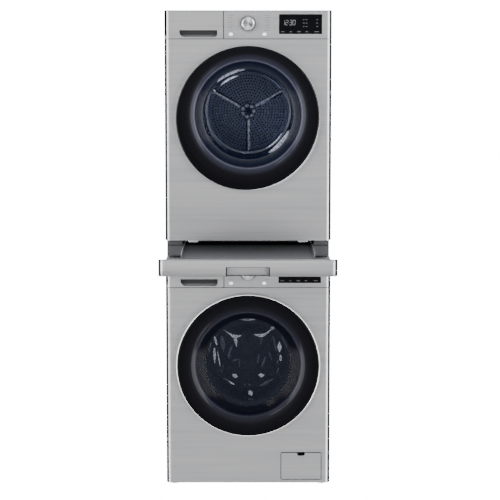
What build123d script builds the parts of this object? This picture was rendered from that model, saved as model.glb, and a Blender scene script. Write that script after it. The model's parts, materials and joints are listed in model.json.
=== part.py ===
"""Washer-dryer stack: a front-loading washer, a stacking kit with a pull-out shelf, and a heat-pump dryer.

Drawn with y = 0 at the flat fronts of both cabinets and y growing towards the back, then moved as one so that
the origin is the centre of the footprint on the floor. The shelf is drawn pulled out to its stop.
"""
from build123d import *
import os
from math import cos, sin, radians, sqrt, pi

# ---- Cabinets ----
UNIT_W = 600.0            # width of both machines
BODY_H = 827.0            # height of each cabinet, feet not counted
WASHER_D = 590.0          # washer, front plane to back panel
DRYER_D = 610.0           # dryer, front plane to back panel
FOOT_GAP = 10.0           # floor to the washer's underside
KIT_H = 71.0              # height of the stacking kit
SHEET = 1.2               # cabinet steel
EDGE_R = 18.0             # rounded vertical edges of the fronts
RETURN = 22.0             # how far a front wraps round the sides
SEAM = 1.0                # gap between neighbouring panels
SEAT_GAP = 0.3            # play between a piece and the curved wall it sits on
PANEL_H = 102.0           # control panel height
PANEL_T = 2.5             # control panel wall
TOP_T = 16.0              # top panel height
TOP_WALL = 2.5
FLANGE = 20.0             # inward flanges of the side panels

# ---- Doors ----
DOOR_RISE = 441.0         # door axis above the cabinet's underside
DOOR_R = 257.0            # radius of the black door ring
DOOR_PROUD = 24.0         # door face in front of the cabinet front
COVER_T = 4.0             # door cover wall
RIM_T = 3.0
RIM_GAP = 5.0             # rim's back edge to the cabinet front
MOUTH_R = 212.0           # hole in the front panel
COLLAR_Y = 18.0           # how far the hole's edge is turned in
SHOULDER_R = 216.0        # where the flat ring turns inwards
DISH_R = 190.0            # edge of the dish
DISH_FLOOR_R = 150.0
DISH_DEPTH = 40.0         # dish floor behind the door face
BOWL_R = 150.0            # washer's glass bowl at its flange
BOWL_DEPTH = 90.0
BOWL_T = 5.0
PLUG_R = 200.0            # dryer door's plug in the mouth
PLUG_END = 60.0
WEB_Y = 18.0              # inner edge of the door frame's dished web
WASHER_DISH_RISE = 3.0    # dish centre above the door centre
DRYER_DISH_RISE = 15.0
WASHER_TRIM = 4.0         # bright ring round the door
HINGE_X = -248.0
HINGE_Y = -15.0
PIN_R = 2.5
PIN_FIT = 0.05
EAR_Z = 36.0              # height of the hinge ears above and below the door axis
EAR_T = 4.0
EAR_R = 4.0
HOOK_X = 243.0

# ---- Controls ----
KNOB_R = 24.6
KNOB_PROUD = 20.0
KNOB_RING_R = 31.8
KNOB_RISE = 54.5          # knob axis above the seam
BUTTON_W = 14.0
BUTTON_H = 10.0
BUTTON_RISE = 16.5
POWER_X = -61.5
START_X = 58.6
BUTTON_TRAVEL = 1.2
BUTTON_FIT = 0.3
DISPLAY_X0 = 110.5
DISPLAY_X1 = 264.0
DISPLAY_RISE = 17.5
DISPLAY_H = 70.0
DRAWER_X1 = -88.0         # right edge of the drawer and tank fronts
GRIP_X0 = -245.5
GRIP_X1 = -110.0
GRIP_RISE = 6.0
GRIP_H = 25.0
GRIP_DEPTH = 20.0
DRAWER_LENGTH = 225.0
TANK_LENGTH = 370.0

# ---- Washer works ----
DRUM_R = 240.0
DRUM_WALL = 1.5
DRUM_Y0 = 108.0
DRUM_Y1 = 425.0
DRUM_MOUTH_R = 178.0
TUB_R = 262.0
TUB_T = 4.0
TUB_Y0 = 90.0
TUB_Y1 = 460.0
TUB_MOUTH_R = 196.0
SHAFT_R = 15.0
SHAFT_FIT = 0.05
HUB_R = 37.0
STATOR_R = 122.0
ROTOR_R = 134.0
SPRING_X = 216.0
SPRING_Y = 260.0
SPRING_LOW = 182.0        # lug tops above the drum axis
SPRING_TOP = 262.0        # bracket undersides above the drum axis
DAMPER_X = 120.0
DAMPER_DROP = 252.0       # damper tops below the drum axis
BASE_T = 4.0              # floor of both base trays, above the cabinet's underside
WASHER_BASE_H = 34.0
FOOT_X = 270.0
FOOT_Y = 45.0             # foot centre to the cabinet's front or back
FOOT_R = 19.0
STUD_R = 5.0
VALVE_X = -230.0
VALVE_PITCH = 40.0
VALVE_RISE = 770.0
SPIGOT_R = 13.2
SPIGOT_LENGTH = 14.0
ROOT_WALL = 1.5           # how much thicker a spigot is where it passes through the panel
ROOT_PROUD = 1.0
DRAIN_X = 230.0
DRAIN_R = 11.0
GLAND_X = 150.0
GLAND_R = 9.0
LEAD_R = 4.0              # bore left for a mains lead
OUTLET_R = 6.0            # dryer's condensate outlet
OUTLET_RISE = 60.0
OUTLET_PROUD = 10.0       # condensate outlet behind the dryer's back
REAR_HOLE_R = 150.0

# ---- Filter flap ----
FLAP_X0 = 119.0
FLAP_X1 = 269.5
FLAP_RISE = 11.0          # opening's lower edge above the cabinet's underside
FLAP_H = 104.0
FLAP_GAP = 1.0
FLAP_T = 2.5
FLAP_CORNER = 5.0
CAP_R = 30.0
PUMP_RISE = 62.0
FLAP_PIN_Y = 5.0
FLAP_PIN_RISE = 8.0
NOTCH_W = 27.6            # finger notch in the flap's upper edge
NOTCH_H = 13.0
NOTCH_R = 6.5

# ---- Dryer works ----
DRYER_DRUM_R = 284.0
DRYER_DRUM_RISE = 4.0     # drum axis above the door axis
DRYER_DRUM_Y0 = 72.0
DRYER_DRUM_Y1 = 505.0
BACK_DISH_R = 160.0
PULLEY_R = 6.4
BELT_T = 2.0
BELT_W = 9.0
BELT_Y = 300.0
SEAL_T = 4.0              # felt ring that the drum turns on
DRYER_BASE_H = 100.0
MOTOR_X = 170.0
MOTOR_RISE = 66.0
MOTOR_SHAFT_R = 6.0
MOTOR_Y1 = 450.0          # rear end of the motor
COMPRESSOR_X = -180.0
COMPRESSOR_Y = 444.0
COIL_X0 = -230.0
COIL_X1 = -60.0
DUCT_RISE = 104.0

# ---- Stacking kit ----
SHELF_TRAVEL = 470.0
SHELF_FRONT_H = 54.0
SHELF_FRONT_T = 28.0
SHELF_TOP_GAP = 7.0       # shelf front's upper edge below the dryer
HOUSING_INSET = 5.0
HOUSING_W = 56.0
HOUSING_SETBACK = 30.0
KIT_D = 530.0
TRAY_LENGTH = 500.0
RAIL_LENGTH = 480.0
RAIL_STACK = 11.0         # housing to tray on each side
RAIL_PLAY = 0.3
RAIL_RISE = 39.0          # rail centre line above the washer
SHELF_GRIP_W = 139.0
SHELF_GRIP_H = 31.0
SHELF_GRIP_DEPTH = 14.0

# ---- Places worked out from the sizes above ----
HALF = UNIT_W / 2
WASHER_Z = FOOT_GAP
KIT_Z = WASHER_Z + BODY_H
DRYER_Z = KIT_Z + KIT_H
WASHER_DOOR_Z = WASHER_Z + DOOR_RISE
DRYER_DOOR_Z = DRYER_Z + DOOR_RISE
DRYER_DRUM_Z = DRYER_DOOR_Z + DRYER_DRUM_RISE
SEAM_RISE = BODY_H - PANEL_H
VALVE_Z = WASHER_Z + VALVE_RISE
BUTTON_FOOT = PANEL_T + 2  # back of the button's foot
PUMP_X = (FLAP_X0 + FLAP_X1) / 2
PUMP_Z = WASHER_Z + PUMP_RISE
MOTOR_Z = DRYER_Z + MOTOR_RISE
RAIL_Z = KIT_Z + RAIL_RISE
HOUSING_X = HALF - HOUSING_INSET - HOUSING_W
FRONT_Y = (SHELF_TRAVEL - max(WASHER_D + SPIGOT_LENGTH, DRYER_D + OUTLET_PROUD)) / 2


def block(x0, x1, y0, y1, z0, z1):
    """A box between two corners."""
    middle = Pos((x0 + x1) / 2, (y0 + y1) / 2, (z0 + z1) / 2)
    return middle * Box(abs(x1 - x0), abs(y1 - y0), abs(z1 - z0))


def pair(x0, x1, y0, y1, z0, z1):
    """The same box on the right and on the left."""
    return block(x0, x1, y0, y1, z0, z1) + block(-x1, -x0, y0, y1, z0, z1)


def rod_y(r, y0, y1, x=0.0, z=0.0):
    return Pos(x, (y0 + y1) / 2, z) * Rot(90, 0, 0) * Cylinder(r, y1 - y0)


def rod_z(r, z0, z1, x=0.0, y=0.0):
    return Pos(x, y, (z0 + z1) / 2) * Cylinder(r, z1 - z0)


def rod_x(r, x0, x1, y=0.0, z=0.0):
    return Pos((x0 + x1) / 2, y, z) * Rot(0, 90, 0) * Cylinder(r, x1 - x0)


def ring_y(outer, inner, y0, y1, x=0.0, z=0.0):
    return rod_y(outer, y0, y1, x, z) - rod_y(inner, y0 - 1, y1 + 1, x, z)


def turned_y(outline, x=0.0, z=0.0):
    """Revolve an outline of (radius, y) points about an axis along y."""
    return Pos(x, 0, z) * revolve(make_face(Polyline(*outline, close=True)), Axis.Y)


def turned_z(outline, x=0.0, y=0.0):
    """Revolve an outline of (radius, z) points about a vertical axis."""
    face = Rot(90, 0, 0) * make_face(Polyline(*outline, close=True))
    return Pos(x, y, 0) * revolve(face, Axis.Z)


def prism_y(outline, y0, y1):
    """Extrude an outline of (x, z) points along y."""
    face = make_face(Polyline(*outline, close=True))
    return Pos(0, (y0 + y1) / 2, 0) * Rot(90, 0, 0) * extrude(face, (y1 - y0) / 2, both=True)


def rounded_front(half, y0, y1, z0, z1, r):
    """A block across the machine whose two vertical front edges are rounded."""
    solid = block(-half, half, y0, y1, z0, z1)
    return fillet(solid.edges().filter_by(Axis.Z).sort_by(Axis.Y)[:2], r)


def front_shell(y1, z0, z1, wall):
    """The outer skin of a front: flat face, rounded edges, short returns and flanges top and bottom."""
    skin = rounded_front(HALF, 0, y1, z0, z1, EDGE_R)
    room = rounded_front(HALF - wall, wall, y1 + 1, z0 + wall, z1 - wall, EDGE_R - wall)
    return skin - room


# ---------------------------------------------------------------- cabinets
def side_panel(side, depth, z0):
    """Folded sheet with a front, rear and lower flange."""
    z1 = z0 + BODY_H - TOP_T
    y0, y1 = RETURN + SEAM, depth - SHEET
    x = side * HALF
    inner = side * (HALF - SHEET)
    lip = side * (HALF - FLANGE)
    sheet = block(inner, x, y0, y1, z0, z1)
    sheet += block(lip, inner, y0, y0 + SHEET, z0, z1)
    sheet += block(lip, inner, y1 - SHEET, y1, z0, z1)
    return sheet + block(lip, inner, y0, y1, z0, z0 + SHEET)


def back_panel(depth, z0, holes):
    """Flat sheet over the rear flanges; holes is one solid to cut away."""
    sheet = block(-HALF, HALF, depth - SHEET, depth, z0, z0 + BODY_H - TOP_T)
    return sheet - holes


def top_panel(depth, z0):
    """Shallow lid that sits on the side and back panels."""
    z1 = z0 + BODY_H
    y0 = RETURN + SEAM + PANEL_T
    lid = block(-HALF, HALF, y0, depth, z1 - TOP_T, z1)
    lid = fillet(lid.edges().group_by(Axis.Z)[-1], 3)
    inner = HALF - TOP_WALL
    return lid - block(-inner, inner, y0 + TOP_WALL, depth - TOP_WALL, z1 - TOP_T - 1, z1 - TOP_WALL)


def mouth_collar(z):
    """The turned-in edge round the door hole."""
    r, t = MOUTH_R, SHEET
    outline = [(r + 8, 0), (r + 8, t), (r + 4, t + 1), (r + t, t + 4), (r + t, COLLAR_Y), (r, COLLAR_Y)]
    outline += [(r, t + 3), (r + 3, t - 0.6), (r + 6, 0)]
    return turned_y(outline, 0, z)


def front_panel(z0):
    """Steel front below the control panel, with the door hole and the slot for the door hook."""
    z1 = z0 + SEAM_RISE - SEAM
    door_z = z0 + DOOR_RISE
    skin = front_shell(RETURN, z0, z1, SHEET)
    skin -= rod_y(MOUTH_R + 7, -1, RETURN, 0, door_z)
    skin += mouth_collar(door_z)
    slot = block(HOOK_X - 7, HOOK_X + 9, -1, 3, door_z - 12, door_z + 12)
    return skin - slot


def washer_front_panel():
    z0 = WASHER_Z + FLAP_RISE
    hole = block(FLAP_X0, FLAP_X1, -1, 5, z0, z0 + FLAP_H)
    hole = fillet(hole.edges().filter_by(Axis.Y), FLAP_CORNER)
    return front_panel(WASHER_Z) - hole


def control_panel(z0):
    """Moulded fascia; its left part is set back to take the drawer or tank front."""
    z_low, z_high = z0 + SEAM_RISE, z0 + BODY_H
    shell = front_shell(RETURN + SEAM, z_low, z_high, PANEL_T)
    shell -= block(-HALF - 1, DRAWER_X1 + SEAM, -1, RETURN - 6, z_low - 1, z_high + 1)
    shell -= block(-HALF - 1, -HALF + EDGE_R + 6, -1, RETURN + 2, z_low - 1, z_high + 1)
    wall_y = RETURN - 6
    bulkhead = block(-HALF + EDGE_R + 6, DRAWER_X1 + SEAM, wall_y, wall_y + PANEL_T, z_low, z_high)
    bulkhead += block(DRAWER_X1 + SEAM, DRAWER_X1 + SEAM + PANEL_T, 0, wall_y + PANEL_T, z_low, z_high)
    bulkhead -= block(-HALF + 26, DRAWER_X1 - 14, wall_y - 1, wall_y + 5, z_low + 4, z_high - 6)
    shell += bulkhead
    knob_z = z_low + KNOB_RISE
    shell -= rod_y(8, -1, 5, 0, knob_z)
    shell -= ring_y(KNOB_RING_R, KNOB_R - 3, -1, 1.2, 0, knob_z)
    for x in (POWER_X, START_X):
        shell -= button_pill(x, z_low + BUTTON_RISE, BUTTON_FIT, -1, PANEL_T + 1)
    z = z_low + DISPLAY_RISE
    return shell - block(DISPLAY_X0, DISPLAY_X1, -1, PANEL_T + 1, z, z + DISPLAY_H)


def button_pill(x, z, grow, y0, y1):
    """A short bar with round ends, seen from the front."""
    r = BUTTON_H / 2 + grow
    arm = (BUTTON_W - BUTTON_H) / 2
    bar = block(x - arm, x + arm, y0, y1, z - r, z + r)
    return bar + rod_y(r, y0, y1, x - arm, z) + rod_y(r, y0, y1, x + arm, z)


def push_button(x, z0):
    """Cap with a wider foot behind the fascia, so it can't fall out."""
    z = z0 + SEAM_RISE + BUTTON_RISE
    cap = button_pill(x, z, 0, -1.6, BUTTON_FOOT)
    cap = fillet(cap.edges().group_by(Axis.Y)[0], 0.6)
    return cap + button_pill(x, z, 2, PANEL_T + RAIL_PLAY, BUTTON_FOOT)


def display(z0):
    """Black window with the display module behind it."""
    z = z0 + SEAM_RISE + DISPLAY_RISE
    fit = 0.2
    pane = block(DISPLAY_X0 + fit, DISPLAY_X1 - fit, -0.4, PANEL_T, z + fit, z + DISPLAY_H - fit)
    return pane + block(DISPLAY_X0 - 4, DISPLAY_X1 + 4, PANEL_T, PANEL_T + 5, z - 4, z + DISPLAY_H + 4)


def knob(z0):
    """Turned knob with a hollow back, a pointer notch and a stub shaft."""
    z = z0 + SEAM_RISE + KNOB_RISE
    outline = [(0, -KNOB_PROUD + 1), (KNOB_R - 6, -KNOB_PROUD + 1), (KNOB_R - 4, -KNOB_PROUD)]
    outline += [(KNOB_R - 1.5, -KNOB_PROUD), (KNOB_R - 0.6, -KNOB_PROUD + 1.2), (KNOB_R, -2), (KNOB_R, -0.6)]
    outline += [(KNOB_R - 2.5, -0.6), (KNOB_R - 3, -KNOB_PROUD + 4), (6, -KNOB_PROUD + 4), (6, 3), (3, 3)]
    outline += [(3, 13), (0, 13)]
    body = turned_y(outline, 0, z)
    return body - block(-0.8, 0.8, -KNOB_PROUD - 1, -KNOB_PROUD + 0.8, z + KNOB_R - 9, z + KNOB_R - 3)


def control_board(z0):
    """Circuit board clipped to the display module, with the knob's encoder and two switches."""
    z = z0 + SEAM_RISE
    y0 = PANEL_T + 5
    switch_y = BUTTON_FOOT + BUTTON_TRAVEL + 0.1
    board = block(POWER_X - 12, DISPLAY_X1 + 4, y0, y0 + 1.6, z + 6, z + PANEL_H - 12)
    encoder = block(-9, 9, y0 + 1.6, y0 + 8, z + KNOB_RISE - 9, z + KNOB_RISE + 9)
    board += encoder
    for x in (POWER_X, START_X):
        board += block(x - 3, x + 3, switch_y, y0, z + BUTTON_RISE - 3, z + BUTTON_RISE + 3)
    return board - rod_y(3 + PIN_FIT, y0 - 1, y0 + 9, 0, z + KNOB_RISE)


def grip_cut(z_low, y0, y1):
    """The finger slot of the drawer and tank fronts: flat top, rounded lower corners."""
    z = z_low + GRIP_RISE
    cut = block(GRIP_X0, GRIP_X1, y0, y1, z, z + GRIP_H)
    right = cut.edges().filter_by(Axis.Y).sort_by(Axis.Z)[:2].sort_by(Axis.X)[-1]
    cut = fillet([right], GRIP_H * 0.45)
    left = cut.edges().filter_by(Axis.Y).sort_by(Axis.X)[:2].sort_by(Axis.Z)[0]
    return fillet([left], GRIP_H * 0.8)


def drawer_front(z0):
    """Front shared by the detergent drawer and the dryer's water tank, with its finger pocket."""
    z_low, z_high = z0 + SEAM_RISE, z0 + BODY_H
    skin = front_shell(RETURN + SEAM, z_low, z_high, PANEL_T)
    skin -= block(DRAWER_X1, HALF + 1, -1, RETURN + 2, z_low - 1, z_high + 1)
    skin -= block(-HALF + EDGE_R + 5, HALF, RETURN - 8, RETURN + 2, z_low - 1, z_high + 1)
    skin += block(DRAWER_X1 - PANEL_T, DRAWER_X1, 0, RETURN - 8, z_low, z_high)
    z = z_low + GRIP_RISE
    pocket = block(GRIP_X0 - 2, GRIP_X1 + 2, 0, GRIP_DEPTH - 6, z - 2, z + GRIP_H + 2)
    return skin + pocket - grip_cut(z_low, -1, GRIP_DEPTH - 8)


def detergent_drawer():
    """Drawer front with an open box of three compartments."""
    z_low = WASHER_Z + SEAM_RISE
    x0, x1 = -HALF + 30, DRAWER_X1 - 18
    y0 = RETURN - 8
    z0, z1 = z_low + 8, z_low + 70
    box = block(x0, x1, y0, y0 + DRAWER_LENGTH, z0, z1)
    width = (x1 - x0 - 4 * PANEL_T) / 3
    for n in range(3):
        left = x0 + PANEL_T + n * (width + PANEL_T)
        box -= block(left, left + width, y0 + PANEL_T, y0 + DRAWER_LENGTH - PANEL_T, z0 + PANEL_T, z1 + 1)
    return drawer_front(WASHER_Z) + box


def drawer_housing():
    """Sleeve round the detergent drawer, with the water spigot on top and the outlet below."""
    z_low = WASHER_Z + SEAM_RISE
    x0, x1 = -HALF + 30, DRAWER_X1 - 18
    gap, wall = 1.5, 2.0
    y0, y1 = RETURN - 6 + PANEL_T, RETURN + DRAWER_LENGTH
    outer = block(x0 - gap - wall, x1 + gap + wall, y0, y1, z_low + 8 - gap - wall, z_low + 76)
    room = block(x0 - gap, x1 + gap, y0 - 1, y1 - wall, z_low + 8 - gap, z_low + 76 - wall)
    return outer - room + rod_z(9, z_low + 76, z_low + 81, (x0 + x1) / 2, y1 - 40)


def water_tank():
    """The dryer's tank: the shared front with a closed long tank behind it."""
    z_low = DRYER_Z + SEAM_RISE
    x0, x1 = -HALF + 30, DRAWER_X1 - 18
    y0 = RETURN - 8
    z0, z1 = z_low + 20, z_low + 78
    y1 = y0 + TANK_LENGTH
    t = PANEL_T
    tank = block(x0, x1, y0, y1, z0, z1) - block(x0 + t, x1 - t, y0 + t, y1 - t, z0 + t, z1 - t)
    tank -= rod_z(12, z1 - t - 1, z1 + 1, (x0 + x1) / 2, y1 - 40)
    return drawer_front(DRYER_Z) + tank


def tank_tray():
    """Open channel that the water tank slides on."""
    z_low = DRYER_Z + SEAM_RISE
    x0, x1 = -HALF + 30, DRAWER_X1 - 18
    gap, wall = 1.0, 2.0
    y0, y1 = RETURN - 6 + PANEL_T, RETURN + TANK_LENGTH
    z0 = z_low + 20 - RAIL_PLAY
    tray = block(x0 - gap - wall, x1 + gap + wall, y0, y1, z0 - wall, z0 + 24)
    tray -= block(x0 - gap, x1 + gap, y0 - 1, y1 - wall, z0, z0 + 25)
    hanger = block(-HALF + SHEET, x0 - gap - wall, y0 + 60, y0 + 100, z0 - wall, z0 + 20)
    return tray + hanger


# ---------------------------------------------------------------- doors
def door_cover(z, rise):
    """Tinted cover: a flat black ring that turns in to a shallow dish whose centre sits higher."""
    face, back = -DOOR_PROUD, -DOOR_PROUD + COVER_T
    ring = rod_y(DOOR_R, face, back, 0, z)
    ring = fillet(ring.edges().sort_by(Axis.Y)[:1], COVER_T - 0.5)
    r0, r1, r2 = SHOULDER_R, DISH_R, DISH_FLOOR_R
    floor_y = face + DISH_DEPTH
    outer = [(0, face - 1), (r0, face - 1), (r0, face), (r0 - 8, face + 1.2), (r0 - 16, face + 5)]
    outer += [(r0 - 22, face + 10), (r1, face + 15), (r2 + 10, floor_y - 6), (r2, floor_y), (0, floor_y + 8)]
    t = COVER_T
    skin = [(r0 + 4, back), (r0 - 9, back + 1.2), (r0 - 18, back + 5.5), (r0 - 25, back + 11)]
    skin += [(r1 - 3, back + 16), (r2 + 8, floor_y - 5 + t), (r2 - 1, floor_y + t), (0, floor_y + 8 + t)]
    body = turned_y([(0, face), (r0 + 4, face)] + skin, 0, z + rise)
    return ring + body - turned_y(outer, 0, z + rise)


def door_frame(z, rise, plug):
    """Moulded frame behind the cover: rim, dished web and, on the dryer, a plug that fills the mouth."""
    back = -RIM_GAP
    front = -DOOR_PROUD + COVER_T
    rim = ring_y(DOOR_R, DOOR_R - RIM_T, front, back, 0, z)
    outer_edge = rim.edges().filter_by(GeomType.CIRCLE).group_by(Axis.Y)[-1].sort_by(SortBy.LENGTH)[-1]
    rim = fillet([outer_edge], RIM_T - 0.4)
    rim += ring_y(DOOR_R - 1, DOOR_R - 18, front, front + 2.5, 0, z)
    plate = rod_y(DOOR_R - 2.5, back - 4, back, 0, z)
    frame = rim + plate - rod_y(DISH_R + 5, back - 5, back + 1, 0, z + rise)
    web = [(DISH_R + 6, back - 4), (DISH_R + 4, back - 4), (DISH_R, back + 2), (DISH_FLOOR_R + 14, WEB_Y)]
    web += [(DISH_FLOOR_R + 14, WEB_Y + 4), (DISH_R - 4, back + 9), (DISH_R + 2, back), (DISH_R + 6, back)]
    frame += turned_y(web, 0, z + rise)
    if plug:
        sleeve = ring_y(plug, plug - 3, back - 1, PLUG_END, 0, z)
        frame += sleeve - rod_y(DISH_R - 1, back - 5, back + 9, 0, z + rise)
    for end in (-1, 1):
        z0 = z + end * (EAR_Z + 2.5)
        z1 = z + end * (EAR_Z + 12)
        frame += block(HINGE_X - EAR_R, HINGE_X + EAR_R + 3, front, HINGE_Y + EAR_R, min(z0, z1), max(z0, z1))
        notch = z + end * EAR_Z
        frame -= block(-DOOR_R - 5, HINGE_X + 36, front + 0.01, 4, notch - 2.5, notch + 2.5)
    frame -= rod_z(PIN_R, z - EAR_Z - 13, z + EAR_Z + 13, HINGE_X, HINGE_Y)
    frame -= block(-DOOR_R + 8, HINGE_X + 36, -RIM_GAP - 5, 4, z - EAR_Z - 14, z + EAR_Z + 14)
    frame -= block(DOOR_R - 46, DOOR_R + 2, front + 3, 3, z - 115, z - 35)
    return frame + block(HOOK_X - 3, HOOK_X + 3, back - 3, back, z - 7, z + 7)


def door_hook(z):
    """Steel hook that catches in the door lock."""
    hook = block(HOOK_X - 3, HOOK_X + 3, -RIM_GAP, 15, z - 6, z + 6)
    return hook - block(HOOK_X - 4, HOOK_X + 0.5, 4, 9, z - 7, z + 7)


def door_trim(z):
    """Bright ring round the washer door's edge."""
    face = -DOOR_PROUD + 2
    ring = ring_y(DOOR_R + WASHER_TRIM, DOOR_R, face, face + 6, 0, z)
    edge = ring.edges().filter_by(GeomType.CIRCLE).group_by(Axis.Y)[0].sort_by(SortBy.LENGTH)[-1]
    return fillet([edge], 1.5)


def door_bowl(z):
    """The washer's moulded glass bowl, which keeps the load off the door."""
    y0 = WEB_Y + 4
    r, t = BOWL_R, BOWL_T
    y1 = y0 + BOWL_DEPTH
    outer = [(r + 20, y0), (r + 20, y0 + t), (r + 2, y0 + t), (r - 3, y0 + t + 6), (r - 16, y1 - 14)]
    outer += [(r - 24, y1 - 3), (r - 40, y1 + 3), (60, y1 + 8), (0, y1 + 10)]
    inner = [(0, y1 + 10 - t), (60, y1 + 8 - t), (r - 42, y1 + 3 - t), (r - 28, y1 - 6), (r - 21, y1 - 15)]
    inner += [(r - 8, y0 + t + 4), (r - 5, y0)]
    return turned_y(outer + inner, 0, z)


def door_hinge(z):
    """Plate on the front panel with two cranked ears."""
    x0, x1 = HINGE_X + 14, HINGE_X + 26
    plate = block(x0, x1, -3, 0, z - 60, z + 60)
    for end in (-1, 1):
        ear_z = z + end * EAR_Z
        low, high = ear_z - EAR_T / 2, ear_z + EAR_T / 2
        ear = rod_z(EAR_R, low, high, HINGE_X, HINGE_Y)
        ear += block(HINGE_X, x0 + 8, HINGE_Y - EAR_R, HINGE_Y + EAR_R, low, high)
        ear += block(x0 + 1, x0 + 8, HINGE_Y, -3, low, high)
        plate += ear
    return plate - rod_z(PIN_R + PIN_FIT, z - 70, z + 70, HINGE_X, HINGE_Y)


def hinge_pin(z):
    return rod_z(PIN_R, z - EAR_Z - 12, z + EAR_Z + 12, HINGE_X, HINGE_Y)


def door_lock(z):
    """Lock box behind the front panel."""
    body = block(HOOK_X - 22, HOOK_X + 24, SHEET, 34, z - 45, z + 45)
    return body - block(HOOK_X - 8, HOOK_X + 10, 0, 26, z - 13, z + 13)


# ---------------------------------------------------------------- washer works
def gasket():
    """Rubber bellows from the front panel's mouth to the tub."""
    r = MOUTH_R
    y0, y1 = COLLAR_Y + SEAT_GAP, TUB_Y0 - SEAT_GAP
    outer = [(r + 4, y0), (r + 4, 22), (r - 4, 26), (r - 26, 34), (r - 12, 46), (r - 10, 54)]
    outer += [(r - 20, 62), (r - 8, 72), (r - 8, y1)]
    inner = [(r - 15, y1), (r - 15, 74), (r - 27, 62), (r - 17, 52), (r - 34, 38)]
    inner += [(r - 37, 32), (r - 16, 24), (r - 12, y0)]
    return turned_y(outer + inner, 0, WASHER_DOOR_Z)


def tub():
    """Polymer tub with its bearing hub, spring lugs on top and damper lugs below."""
    z, t = WASHER_DOOR_Z, TUB_T
    bore = SHAFT_R + SHAFT_FIT
    outline = [(TUB_MOUTH_R, TUB_Y0), (TUB_R + t, TUB_Y0), (TUB_R + t, TUB_Y1), (HUB_R, TUB_Y1)]
    outline += [(HUB_R, TUB_Y1 + 6), (bore, TUB_Y1 + 6), (bore, TUB_Y1 - 20), (HUB_R, TUB_Y1 - 20)]
    outline += [(HUB_R + 4, TUB_Y1 - t), (TUB_R, TUB_Y1 - t), (TUB_R, TUB_Y0 + t), (TUB_MOUTH_R, TUB_Y0 + t)]
    body = turned_y(outline, 0, z)
    lugs = pair(SPRING_X - 14, SPRING_X + 14, SPRING_Y - 12, SPRING_Y + 12, z + 150, z + SPRING_LOW)
    lugs += pair(DAMPER_X - 14, DAMPER_X + 14, SPRING_Y - 12, SPRING_Y + 12, z - DAMPER_DROP, z - 200)
    return body + (lugs - rod_y(TUB_R + 1, TUB_Y0, TUB_Y1, 0, z))


def drum():
    """Stainless drum: rolled wall, front lip and pressed back."""
    z, t, r = WASHER_DOOR_Z, DRUM_WALL, DRUM_R
    outline = [(DRUM_MOUTH_R, DRUM_Y0 + 6), (DRUM_MOUTH_R, DRUM_Y0), (r - 12, DRUM_Y0), (r, DRUM_Y0 + 12)]
    outline += [(r, DRUM_Y1), (60, DRUM_Y1), (50, DRUM_Y1 - 8), (0, DRUM_Y1 - 8), (0, DRUM_Y1 - 8 - t)]
    outline += [(51, DRUM_Y1 - 8 - t), (61, DRUM_Y1 - t), (r - t, DRUM_Y1 - t), (r - t, DRUM_Y0 + 12.6)]
    outline += [(r - 12.6, DRUM_Y0 + t), (DRUM_MOUTH_R + t, DRUM_Y0 + t), (DRUM_MOUTH_R + t, DRUM_Y0 + 6)]
    return turned_y(outline, 0, z)


def lifters():
    """Three paddles along the drum wall, one of them at the bottom."""
    group = Part()
    root = DRUM_R - DRUM_WALL
    foot, crest, height = 34.0, 12.0, 52.0
    for n in range(3):
        low, high = -root + 2.4, -root + height
        outline = [(-foot, low), (foot, low), (crest, high), (-crest, high)]
        paddle = prism_y(outline, DRUM_Y0 + 35, DRUM_Y1 - 35)
        paddle = fillet(paddle.edges().filter_by(Axis.Y).group_by(Axis.Z)[-1], 8)
        group += Pos(0, 0, WASHER_DOOR_Z) * Rot(0, n * 120, 0) * paddle
    return group - ring_y(DRUM_R + 40, DRUM_R - DRUM_WALL - SEAT_GAP, DRUM_Y0, DRUM_Y1, 0, WASHER_DOOR_Z)


def spider():
    """Three-armed casting behind the drum with the shaft."""
    z = WASHER_DOOR_Z
    y0 = DRUM_Y1
    body = rod_y(SHAFT_R, y0 - 4, TUB_Y1 + 50, 0, z) + rod_y(34, y0 - 8, y0, 0, z)
    for n in range(3):
        arm = block(-16, 16, y0, y0 + 12, 0, DRUM_R - 4)
        body += Pos(0, 0, z) * Rot(0, 60 + n * 120, 0) * arm
    return body


def stator():
    """Ring of wound poles bolted to the tub's back."""
    z = WASHER_DOOR_Z
    y0 = TUB_Y1
    core = ring_y(88, 62, y0, y0 + 22, 0, z)
    poles = 24
    for n in range(poles):
        core += Pos(0, 0, z) * Rot(0, n * 360 / poles, 0) * block(-6, 6, y0 + 3, y0 + 20, 80, STATOR_R)
    return core


def rotor():
    """Steel cup with its magnets, fixed to the end of the shaft."""
    y0 = TUB_Y1
    outline = [(SHAFT_R, y0 + 30), (30, y0 + 30), (34, y0 + 34), (ROTOR_R, y0 + 34), (ROTOR_R, y0 + 2)]
    outline += [(STATOR_R + 2, y0 + 2), (STATOR_R + 2, y0 + 28), (ROTOR_R - 4, y0 + 31), (36, y0 + 31)]
    outline += [(32, y0 + 27), (SHAFT_R, y0 + 27)]
    return turned_y(outline, 0, WASHER_DOOR_Z)


def counterweight():
    """Concrete ring on the front of the tub."""
    return ring_y(TUB_R, MOUTH_R - 2, 60, TUB_Y0, 0, WASHER_DOOR_Z)


def springs():
    """Two suspension springs between the tub's upper lugs and their brackets."""
    group = Part()
    coils, wire = 10, 3.0
    z0 = WASHER_DOOR_Z + SPRING_LOW
    length = SPRING_TOP - SPRING_LOW
    outline = [(0, z0)]
    for n in range(coils):
        step = length / coils
        outline += [(9, z0 + n * step), (9 + wire, z0 + (n + 0.3) * step), (9 + wire, z0 + (n + 0.6) * step)]
        outline += [(9, z0 + (n + 0.9) * step)]
    outline += [(9, z0 + length), (0, z0 + length)]
    for side in (-1, 1):
        group += turned_z(outline, side * SPRING_X, SPRING_Y)
    return group


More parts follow.
